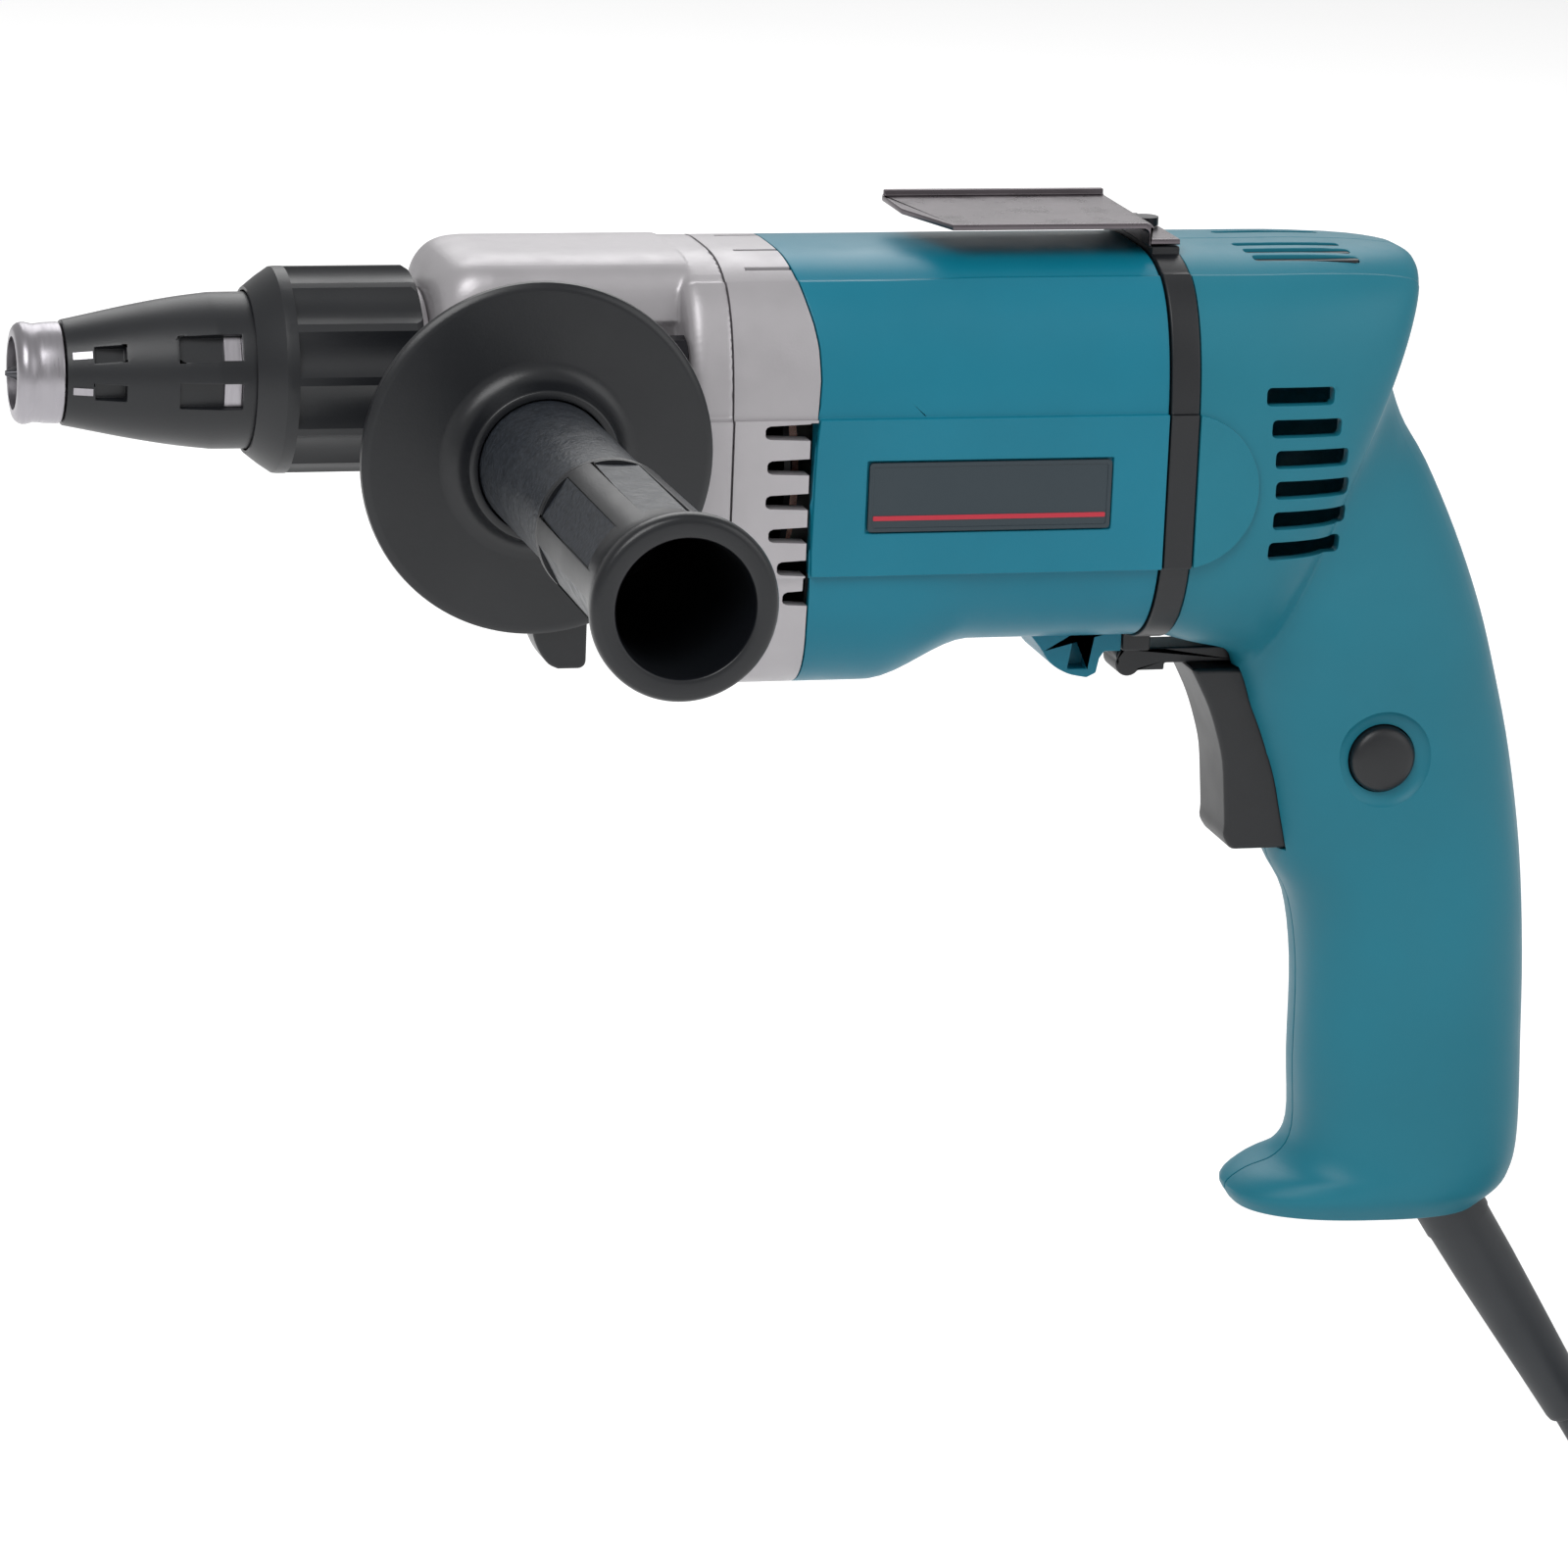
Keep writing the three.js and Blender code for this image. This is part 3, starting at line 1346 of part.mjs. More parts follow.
function spindle() {
  const profile = [
    [socketFront, 0],
    [socketFront, socketRadius - overrun / 2],
    [socketFront + overrun / 2, socketRadius],
    [socketBack, socketRadius],
    [socketBack, spindleRadius],
    [spindleFlangeFront, spindleRadius],
    [spindleFlangeFront, spindleFlangeRadius],
    [spindleFlangeBack, spindleFlangeRadius],
    [spindleFlangeBack, spindlePinRadius],
    [spindleEnd, spindlePinRadius],
    [spindleEnd, 0],
  ];
  const body = turnedOn('x', profile, spindleCentre);
  const hex = slabYZ(
    hexPoints(bitFlats + 2 * clearance), socketFront - overrun, socketFront + socketDepth, 0,
    spindleHeight,
  );
  const teeth = jaws(spindleFlangeBack - overrun / 2, spindleFlangeBack + jawHeight, Math.PI / jawCount);
  return joined([body, ...teeth]).subtract(hex);
}

function clutchSpring() {
  const start = spindleFlangeBack + springWire + clearance;
  const end = gearFront + springRecessDepth - springWire - clearance;
  const rings = [];
  const steps = springTurns * springStepsPerTurn;
  for (let i = 0; i <= steps; i++) {
    const turn = (2 * Math.PI * i) / springStepsPerTurn;
    const radial = new THREE.Vector3(0, Math.cos(turn), Math.sin(turn));
    const centre = new THREE.Vector3(THREE.MathUtils.lerp(start, end, i / steps), 0, spindleHeight);
    centre.addScaledVector(radial, springMiddle);
    const along = axisX.clone().multiplyScalar(springWire);
    rings.push(powerRing(centre, along, radial.multiplyScalar(springWire), 2, springSides));
  }
  return lofted(rings);
}

function spindleBush() {
  return pipe(
    'x', bushRadius, spindlePinRadius + clearance, partingPlace - overrun / 2,
    partingPlace + bearingWallDepth, spindleCentre, sleeveSteps,
  );
}

function outerRace() {
  return pipe(
    'x', bearingOuterRadius, bearingSplitRadius + clearance / 2, bearingFront,
    bearingFront + bearingWidth, spindleCentre,
  );
}

function innerRace() {
  return pipe(
    'x', bearingSplitRadius - clearance / 2, spindleRadius + clearance, bearingFront,
    bearingFront + bearingWidth, spindleCentre,
  );
}

// Bit: a six-sided shank, a waist and a crossed point
const bitTip = -284.7;
const bitShoulder = -271;
const bitPointLength = 5;
const bitWaistRadius = 2.6;
const bitPointWing = 0.9;
const bitPointFlutes = 4;
const bitPointLean = THREE.MathUtils.degToRad(9);

function bit() {
  const end = socketFront + socketDepth - clearance;
  const shank = slabYZ(hexPoints(bitFlats), bitShoulder, end, 0, spindleHeight);
  const profile = [
    [bitTip, 0],
    [bitTip, bitPointWing / 2],
    [bitTip + bitPointLength, bitWaistRadius],
    [bitShoulder - overrun, bitWaistRadius],
    [bitShoulder + overrun / 2, bitFlats / 2],
    [bitShoulder + overrun / 2, 0],
  ];
  const point = turnedOn('x', profile, spindleCentre);
  const flutes = ringOfTurns(bitPointFlutes, Math.PI / bitPointFlutes).map((turn) => {
    const cutter = new THREE.BoxGeometry(3 * bitPointLength, bitWaistRadius, bitWaistRadius);
    cutter.rotateX(Math.PI / bitPointFlutes);
    cutter.rotateY(-bitPointLean);
    cutter.translate(bitTip + bitPointLength / 2, 0, bitPointWing + bitWaistRadius / Math.SQRT2);
    return turnedAboutX(solidOf(cutter).translate([0, 0, spindleHeight]), turn, spindleHeight);
  });
  return cutBy(shank.add(point), flutes);
}

// Nose: neck, sliding collar, fluted adjusting sleeve, windowed cone and metal locator ring
const neckRadius = 15.5;
const neckBore = 11;
const neckFront = -224;
const collarFront = -236;
const collarStep = -226;
const collarBack = -212;
const collarOuter = 12;
const collarStem = neckBore - clearance;
const collarBore = 9.3;
const sleeveFront = -239.5;
const sleeveLength = 31.5;
const sleeveRadius = 19.6;
const sleeveBore = neckRadius + clearance;
const sleeveMouth = 15.2;
const sleeveRim = 0.6;
const sleeveLipDepth = 1.5;
const sleeveChamfer = 5;
const fluteCount = 12;
const fluteDepth = 1.5;
const fluteRadius = 7;
const fluteStart = 10.5;
const sleeveBack = sleeveFront + sleeveLength;

function neck() {
  return pipe('x', neckRadius, neckBore, neckFront, noseFace - clearance, spindleCentre, fineSteps);
}

function depthCollar() {
  const profile = [
    [collarFront, collarBore],
    [collarFront, collarOuter],
    [collarStep, collarOuter],
    [collarStep, collarStem],
    [collarBack, collarStem],
    [collarBack, collarBore],
    [collarFront, collarBore],
  ];
  return turnedOn('x', profile, spindleCentre);
}

function adjustingSleeve() {
  const profile = [
    [sleeveFront, sleeveMouth],
    [sleeveFront, sleeveMouth + sleeveRim],
    [sleeveFront + sleeveChamfer, sleeveRadius],
    [sleeveBack - sleeveLipDepth, sleeveRadius],
    [sleeveBack, sleeveRadius - sleeveLipDepth],
    [sleeveBack, sleeveBore],
    [sleeveFront + sleeveLipDepth, sleeveBore],
    [sleeveFront + sleeveLipDepth, sleeveMouth],
    [sleeveFront, sleeveMouth],
  ];
  const body = turnedOn('x', profile, spindleCentre, sleeveSteps);
  const reach = sleeveRadius - fluteDepth + fluteRadius;
  const flutes = ringOfTurns(fluteCount, Math.PI / fluteCount).map((turn) => {
    const place = [0, reach * Math.cos(turn), spindleHeight + reach * Math.sin(turn)];
    return rod('x', fluteRadius, sleeveFront + fluteStart, sleeveBack + overrun, place, fluteSteps);
  });
  return cutBy(body, flutes);
}

const coneBack = -227;
const coneFront = -274.3;
const coneLength = coneBack - coneFront;
const coneWide = 14.8;
const coneNarrow = 9.9;
const coneBoreBack = collarOuter + clearance;
const coneBoreFront = 7.6;
const coneBoreShare = 0.6;
const windowPhase = THREE.MathUtils.degToRad(9);
const windowHalfTurn = THREE.MathUtils.degToRad(18.5);
const windowWidth = 5.2;
const windowLength = 11.5;
const windowStart = 22.6;
const slotWidth = 3.2;
const slotLength = 6;
const slotStart = 8;
const tabWidth = 1.2;
const tabLength = 3;
const tabStart = 2;

// Start, length and width of each opening in a row along the cone
const coneOpenings = [
  [windowStart, windowLength, windowWidth],
  [slotStart, slotLength, slotWidth],
  [tabStart, tabLength, tabWidth],
];

// Each row: share of the cone's length from its front, and share of the way from narrow to wide
const coneShares = [[0, 0], [0.1, 0.2], [0.25, 0.5], [0.42, 0.79], [0.56, 0.96], [0.64, 1], [1, 1]];

function coneCutter([start, length, width], turn) {
  const x = coneFront + start;
  const inner = spindleHeight + coneBoreFront - overrun;
  const outer = spindleHeight + coneWide + overrun;
  const cutter = block(x, x + length, -width / 2, width / 2, inner, outer);
  return turnedAboutX(cutter, Math.PI / 2 + windowPhase + turn, spindleHeight);
}

function noseCone() {
  const outside = coneShares.map(([along, out]) => [
    coneFront + along * coneLength,
    THREE.MathUtils.lerp(coneNarrow, coneWide, out),
  ]);
  const inside = [
    [coneBack, coneBoreBack], [coneFront + coneBoreShare * coneLength, coneBoreBack],
    [coneFront, coneBoreFront],
  ];
  const body = turnedOn('x', [...outside, ...inside, outside[0]], spindleCentre, sleeveSteps);
  const turns = [0, Math.PI].flatMap((half) => [-1, 1].map((side) => half + side * windowHalfTurn));
  const cuts = turns.flatMap((turn) => coneOpenings.map((opening) => coneCutter(opening, turn)));
  return cutBy(body, cuts);
}

const ringLength = 8.8;
const ringRadius = 9.6;
const ringBore = 6.9;
const ringLip = 1.6;
const ringGroove = 0.5;

// Each row: share of the lip's depth from the front, and share of the lip below full radius
const ringLipShares = [[0, 1], [0.3, 0.35], [1, 0]];

// Each row: share of the ring's length, and share of the groove's depth
const ringGrooveShares = [[0.35, 1], [0.55, 0]];

function locatorRing() {
  const back = coneFront - clearance;
  const front = back - ringLength;
  const lip = ringLipShares.map(([along, under]) => [front + along * ringLip, ringRadius - under * ringLip]);
  const groove = ringGrooveShares.map(([along, deep]) => [
    front + along * ringLength, ringRadius - deep * ringGroove,
  ]);
  const inner = [[back, ringRadius], [back, ringBore], [front, ringBore]];
  return turnedOn('x', [[front, ringBore], ...lip, ...groove, ...inner], spindleCentre);
}

// Side handle: guard disc and tapered grip on a stud that screws into the side boss
const guardFront = sideBossFace + clearance;
const guardHub = 14;
const guardDisc = 42;
const guardDiscThickness = 3;
const guardDiscRadius = 34;
const guardFlareRadius = 18;
const guardFlareDepth = 6;
const gripStart = guardDisc + guardDiscThickness + clearance;
const gripEnd = 161;
const gripBaseRadius = 12.4;
const gripRingPlace = 101;
const gripRingRise = 0.7;
const gripFlangeRadius = 16.4;
const gripFlangeLength = 5;
const gripBoreRadius = 12.1;
const gripBoreFloor = 66;
const gripBoreNarrow = 8.6;
const gripPadCount = 6;
const gripPadDepth = 0.8;
const gripPadStart = 103.8;
const gripPadEnd = 143;
const gripPadWidth = 8.7;
const gripNeckStart = 146;
const gripNeckRadius = 13.5;
const guardLugLength = 6.7;
const guardLugHalfWidth = 5.4;
const guardLugDepth = 8;
const studEnd = 62;
const studStart = 22;
const sideCentre = [gripAxisX, 0, gripAxisZ];

function handGuard() {
  const disc = guardDisc + guardDiscThickness;
  const half = guardDiscThickness / 2;
  const bore = gripBaseRadius + clearance;
  const seat = studRadius + clearance;
  const profile = [
    [-guardFront, seat],
    [-guardFront, guardHub],
    [-guardDisc + guardDiscThickness, guardHub],
    [-guardDisc, guardFlareRadius],
    [-guardDisc, guardDiscRadius - half],
    [-guardDisc - half, guardDiscRadius],
    [-disc, guardDiscRadius - half],
    [-disc, guardFlareRadius],
    [-disc - guardFlareDepth / 3, (guardFlareRadius + bore) / 2 + clearance],
    [-disc - guardFlareDepth, bore + half],
    [-disc - guardFlareDepth, bore],
    [-disc, bore],
    [-disc, seat],
    [-guardFront, seat],
  ];
  const body = turnedOn('y', profile.reverse(), sideCentre, fineSteps);
  const lugTop = gripAxisZ - guardDiscRadius;
  const lug = block(
    gripAxisX + clearance, gripAxisX + 2 * guardLugHalfWidth, -guardDisc, -guardDisc + guardLugDepth,
    lugTop - guardLugLength, lugTop + guardLugLength,
  );
  return body.add(lug);
}

function sideGrip() {
  const ring = gripRingPlace;
  const bodyRadius = gripBaseRadius + gripRingRise;
  const profile = [
    [gripStart, 0],
    [gripStart, gripBaseRadius],
    [ring, gripBaseRadius - clearance],
    [ring, bodyRadius],
    [ring + gripRingRise * 2, bodyRadius],
    [gripNeckStart, gripNeckRadius],
    [gripEnd - gripFlangeLength, gripFlangeRadius - gripRingRise],
    [gripEnd - gripFlangeLength / 2, gripFlangeRadius],
    [gripEnd - gripRingRise, gripFlangeRadius],
    [gripEnd, gripFlangeRadius - gripRingRise],
    [gripEnd, gripBoreRadius],
    [gripNeckStart, gripBoreRadius - gripRingRise],
    [gripBoreFloor, gripBoreNarrow],
    [gripBoreFloor, 0],
  ];
  const body = turnedOn('y', profile.map(([y, r]) => [-y, r]).reverse(), sideCentre);
  const studHole = rod('y', studRadius + clearance, -studEnd - clearance, -gripStart + overrun, sideCentre);
  const pads = ringOfTurns(gripPadCount).map((turn) => {
    const geometry = new THREE.BoxGeometry(gripPadWidth, gripPadEnd - gripPadStart, overrun);
    geometry.translate(0, -(gripPadStart + gripPadEnd) / 2, bodyRadius - gripPadDepth + overrun / 2);
    return solidOf(geometry).rotate([0, THREE.MathUtils.radToDeg(turn), 0]).translate([
      gripAxisX, 0, gripAxisZ,
    ]);
  });
  return cutBy(body, [studHole, ...pads]);
}

function sideGripStud() {
  return rod('y', studRadius, -studEnd, -studStart, sideCentre);
}

// Cord: a free lead, a wound coil of eight loops in four layers, a tail and a flat-pin plug
const floorHeight = -146;
const coilX = 112;
const coilOuterMiddle = 54;
const coilY = -coilOuterMiddle;
const loopPitch = 8.7;
const layerPitch = 8.7;
const loopsPerLayer = 2;
const layerCount = 4;
const loopSteps = 24;
const tubeSides = 6;
const freeSides = 8;
const tailTurnShare = 0.25;
const cordRadius = cordDiameter / 2;
const tieThickness = 1.2;
const cordRest = floorHeight + tieThickness + clearance + cordRadius;

// How far along the winding each place is: radius and height at a number of loops
function coilPlace(loops) {
  const inward = loops % (2 * loopsPerLayer);
  const wound = loops > layerCount * loopsPerLayer;
  const fromOutside = wound ? -inward : Math.min(inward, 2 * loopsPerLayer - inward);
  const radius = coilOuterMiddle - fromOutside * loopPitch;
  const layer = Math.round(loops / loopsPerLayer);
  const climb = THREE.MathUtils.clamp((loops - layer * loopsPerLayer) * 2 + 1 / 2, 0, 1);
  const level = THREE.MathUtils.clamp(layer - 1 + climb, 0, layerCount - 1);
  const height = cordRest + level * layerPitch;
  const turn = Math.PI / 2 - loops * 2 * Math.PI;
  return new THREE.Vector3(coilX + radius * Math.cos(turn), coilY + radius * Math.sin(turn), height);
}

// A round tube through the given places, square to the path at each one
function tubeThrough(places, sides) {
  const rings = [];
  let up = axisZ.clone();
  places.forEach((place, i) => {
    const before = places[Math.max(0, i - 1)];
    const after = places[Math.min(places.length - 1, i + 1)];
    const heading = after.clone().sub(before).normalize();
    const across = up.clone().cross(heading).normalize();
    up = heading.clone().cross(across).normalize();
    rings.push(powerRing(
      place, across.multiplyScalar(cordRadius), up.clone().multiplyScalar(cordRadius), 2, sides,
    ));
  });
  return lofted(rings);
}

function coilPlaces() {
  const places = [];
  const steps = Math.round((layerCount * loopsPerLayer + tailTurnShare) * loopSteps);
  for (let i = 0; i <= steps; i++) places.push(coilPlace(i / loopSteps));
  const first = places[0].clone().addScaledVector(axisX, -cordDiameter);
  const last = places[steps].clone().addScaledVector(axisY, -cordDiameter);
  return [first, ...places, last];
}

// Least distance between two stretches of the winding that are not neighbours along it
function leastCoilGap(places) {
  const apart = loopSteps / 2;
  let least = Infinity;
  for (let i = 0; i < places.length; i++) {
    for (let j = i + apart; j < places.length; j++) {
      least = Math.min(least, places[i].distanceTo(places[j]));
    }
  }
  return least - cordDiameter;
}

// Free stretches: points chosen by hand, from the guard to the coil and from the coil to the plug
const leadPoints = [
  [44.2, 0, -109.4], [49.5, 0, -117.5], [54.9, 0, -125.2], [59.6, 0, -130.8], [64.8, 0, -135.0],
  [70.7, 0, -138.2], [77.6, 0, -140.2], [84.4, 0, -140.5], [94, 0, -140.5], [103.7, 0, -140.5],
];
const tailPoints = [
  [168.2, -62.4, -114.4], [168.2, -72, -115], [168, -83, -118.6], [167.4, -94, -124.6],
  [166.2, -105, -130.8], [164.8, -116, -134.4], [163.6, -127, -135], [163.4, -137.6, -135],
];
const leadSteps = 12;
const tailSteps = 10;

function freeCord(points, steps) {
  const curve = new THREE.CatmullRomCurve3(points.map((p) => new THREE.Vector3(...p)), false, 'centripetal');
  return tubeThrough(curve.getSpacedPoints(steps), freeSides);
}

// Tie round the coil
const tieHalfWidth = 3;

function cordTie() {
  const outerReach = coilOuterMiddle - loopPitch / 2 + cordRadius + 2 * clearance;
  const innerReach = coilOuterMiddle - (loopsPerLayer - 1 / 2) * loopPitch - cordRadius - 2 * clearance;
  const bottom = cordRest - cordRadius - clearance;
  const top = cordRest + (layerCount - 1) * layerPitch + cordRadius + clearance;
  const t = tieThickness;
  const outer = block(
    coilX - tieHalfWidth, coilX + tieHalfWidth, coilY - outerReach - t, coilY - innerReach + t,
    bottom - t, top + t,
  );
  const way = block(
    coilX - tieHalfWidth - overrun, coilX + tieHalfWidth + overrun, coilY - outerReach,
    coilY - innerReach, bottom, top,
  );
  return outer.subtract(way);
}

// Plug with two flat blades, lying on the surface beside the coil
const plugX = 163.4;
const plugStart = 138;
const plugZ = -135;
const plugLength = 38;
const plugHalfWidth = 12.5;
const plugHalfHeight = 9.5;
const plugNeckRadius = 5.2;
const bladeLength = 17.5;
const bladeSeat = 6;
const bladeWidth = 6.3;
const bladeThickness = 1.5;
const bladeSpacing = 12.7;

// Each row: share of the plug's length, then share of the way from the neck to full size
const plugShares = [[0, 0], [0.22, 0.1], [0.42, 0.42], [0.6, 0.9], [0.85, 1], [1, 0.94]];

function plugBody() {
  const rings = plugShares.map(([along, grow]) => {
    const centre = new THREE.Vector3(plugX, -plugStart - along * plugLength, plugZ);
    const across = axisX.clone().multiplyScalar(THREE.MathUtils.lerp(plugNeckRadius, plugHalfWidth, grow));
    const up = axisZ.clone().multiplyScalar(THREE.MathUtils.lerp(plugNeckRadius, plugHalfHeight, grow));
    return powerRing(centre, across, up, 2 + grow, sleeveSteps);
  });
  const seats = [-1, 1].map((side) => bladeBlock(side, clearance));
  return cutBy(lofted(rings), seats);
}

function bladeBlock(side, slack) {
  const face = -plugStart - plugLength;
  const x = plugX + (side * bladeSpacing) / 2;
  const halfX = bladeThickness / 2 + slack;
  const halfZ = bladeWidth / 2 + slack;
  return block(
    x - halfX, x + halfX, face - bladeLength, face + bladeSeat + slack, plugZ - halfZ, plugZ + halfZ,
  );
}

// The whole tool
addPiece('gear_housing', gearHousing(), castAluminium);
addPiece('bearing_housing', bearingHousing(), castAluminium);
addPiece('motor_housing', motorHousing(), teal);
addPiece('name_plate', namePlate(), plateGrey);
caseScrewPlaces.forEach((place, i) => addPiece(`case_screw_${i + 1}`, caseScrew(place), blackSteel));
addPiece('hook_band', hookBand(), blackPlastic);
addPiece('belt_hook', beltHook(), darkSteel);
addPiece('hook_screw', hookScrew(), blackSteel);
addPiece('handle_left_half', handleHalf(-1), darkTeal);
addPiece('handle_right_half', handleHalf(1), darkTeal);
handleScrewPlaces.forEach((place, i) => addPiece(
  `handle_screw_${i + 1}`, handleScrew(place, handleScrewSeats[i]), blackSteel,
));
addPiece('trigger', trigger(), blackPlastic);
addPiece('reversing_lever', reversingLever(), blackPlastic);
addPiece('lock_button', lockButton(), blackPlastic);
addPiece('switch_body', switchBody(), blackPlastic);
addPiece('cord_clamp', cordClamp(), blackPlastic);
addPiece('armature_shaft', armatureShaft(), steel);
addPiece('armature_core', armatureCore(), darkSteel);
addPiece('armature_winding', armatureWinding(), copper);
addPiece('commutator', commutator(), copper);
addPiece('fan', fan(), blackPlastic);
addPiece('motor_front_bearing', frontMotorBearing(), steel);
addPiece('motor_rear_bearing', rearMotorBearing(), steel);
addPiece('field_core', fieldCore(), darkSteel);
addPiece('field_coil_upper', fieldCoil(0), copper);
addPiece('field_coil_lower', fieldCoil(Math.PI), copper);
addPiece('fan_baffle', fanBaffle(), blackPlastic);
[['left', -1], ['right', 1]].forEach(([name, side]) => {
  addPiece(`brush_holder_${name}`, brushHolder(side), brass);
  addPiece(`carbon_brush_${name}`, carbonBrush(side), carbon);
});
addPiece('drive_gear', driveGear(), darkSteel);
addPiece('spindle', spindle(), steel);
addPiece('clutch_spring', clutchSpring(), steel);
addPiece('spindle_bush', spindleBush(), brass);
addPiece('spindle_bearing_outer', outerRace(), steel);
addPiece('spindle_bearing_inner', innerRace(), steel);
addPiece('bit', bit(), darkSteel);
addPiece('neck', neck(), castAluminium);
addPiece('depth_collar', depthCollar(), darkSteel);
addPiece('adjusting_sleeve', adjustingSleeve(), blackPlastic);
addPiece('nose_cone', noseCone(), blackPlastic);
addPiece('locator_ring', locatorRing(), steel);
addPiece('hand_guard', handGuard(), blackRubber);
addPiece('side_grip', sideGrip(), blackRubber);
addPiece('side_grip_stud', sideGripStud(), steel);
addPiece('cord_guard', cordGuard(), blackRubber);
addPiece('cord_lead', freeCord(leadPoints, leadSteps), blackRubber);
const windingPlaces = coilPlaces();
console.log(`least gap of the coil to itself: ${leastCoilGap(windingPlaces).toFixed(2)} mm`);
addPiece('cord_coil', tubeThrough(windingPlaces, tubeSides), blackRubber);
addPiece('cord_tail', freeCord(tailPoints, tailSteps), blackRubber);
addPiece('cord_tie', cordTie(), blackRubber);
addPiece('plug_body', plugBody(), blackRubber);
[-1, 1].forEach((side, i) => addPiece(`plug_blade_${i + 1}`, bladeBlock(side, 0), steel));

export default group;
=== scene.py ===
"""Looks of the drill driver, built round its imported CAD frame.

Shapes are made in millimetres and placed in metres.
"""

import json
from math import acos, copysign, cos, degrees, floor, pi, radians, sin, tan

import bmesh
import bpy
from mathutils import Matrix, Vector


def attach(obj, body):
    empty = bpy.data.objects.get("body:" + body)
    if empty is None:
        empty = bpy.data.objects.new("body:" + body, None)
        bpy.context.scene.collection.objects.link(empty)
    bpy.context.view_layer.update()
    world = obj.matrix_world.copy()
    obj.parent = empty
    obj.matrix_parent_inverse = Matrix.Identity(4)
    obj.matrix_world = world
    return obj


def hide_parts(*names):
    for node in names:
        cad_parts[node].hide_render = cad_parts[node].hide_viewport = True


MM = 0.001
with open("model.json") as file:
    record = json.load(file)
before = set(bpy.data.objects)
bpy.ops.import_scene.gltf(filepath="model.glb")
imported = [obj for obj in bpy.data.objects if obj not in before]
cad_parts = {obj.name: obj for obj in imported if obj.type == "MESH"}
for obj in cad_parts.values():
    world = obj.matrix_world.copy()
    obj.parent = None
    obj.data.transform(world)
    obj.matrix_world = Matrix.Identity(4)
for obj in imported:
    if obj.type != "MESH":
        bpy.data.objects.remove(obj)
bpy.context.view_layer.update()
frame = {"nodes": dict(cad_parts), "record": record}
nodes = frame["nodes"]
scene = bpy.context.scene

# Camera at the photograph's viewing angle

CAMERA_PLACE = Vector((-0.4555, -1.2122, 0.3700))
CAMERA_RIGHT = Vector((0.9679, -0.2486, 0.0385))
CAMERA_BACK = Vector((-0.2498, -0.9324, 0.2610))
CAMERA_LENS = 152.1
CAMERA_SENSOR = 36
CAMERA_NEAR = 0.05
CAMERA_FAR = 60


def add_camera():
    back = CAMERA_BACK.normalized()
    right = (CAMERA_RIGHT - back * CAMERA_RIGHT.dot(back)).normalized()
    up = back.cross(right)
    data = bpy.data.cameras.new("camera")
    data.lens = CAMERA_LENS
    data.sensor_width = CAMERA_SENSOR
    data.clip_start = CAMERA_NEAR
    data.clip_end = CAMERA_FAR
    camera = bpy.data.objects.new("camera", data)
    turn = Matrix((right, up, back)).transposed().to_4x4()
    camera.matrix_world = Matrix.Translation(CAMERA_PLACE) @ turn
    scene.collection.objects.link(camera)
    scene.camera = camera


add_camera()

# Materials. Noise scales are waves a metre, and bump depths are metres.

NOISE_LOW = 0.3
NOISE_HIGH = 0.7
GRAIN_STRENGTH = 0.5
PLASTIC_BLOTCH = 28
PLASTIC_POLISH = 60
PLASTIC_RIPPLE = 90
RIPPLE_DEPTH = 0.00008
RIPPLE_STRENGTH = 0.25
LEATHER_POLISH = 300
METAL_BLOTCH = 45
METAL_POLISH = 160
METAL_GRAIN = 0.5
LENGTHWISE = (12, 1, 1)
CROSSWISE = (1, 30, 30)


def linear(r, g, b):
    """A screen colour of 0 to 255 a channel, as linear light."""
    def channel(value):
        share = value / 255
        return share / 12.92 if share <= 0.04045 else ((share + 0.055) / 1.055) ** 2.4

    return (channel(r), channel(g), channel(b), 1)


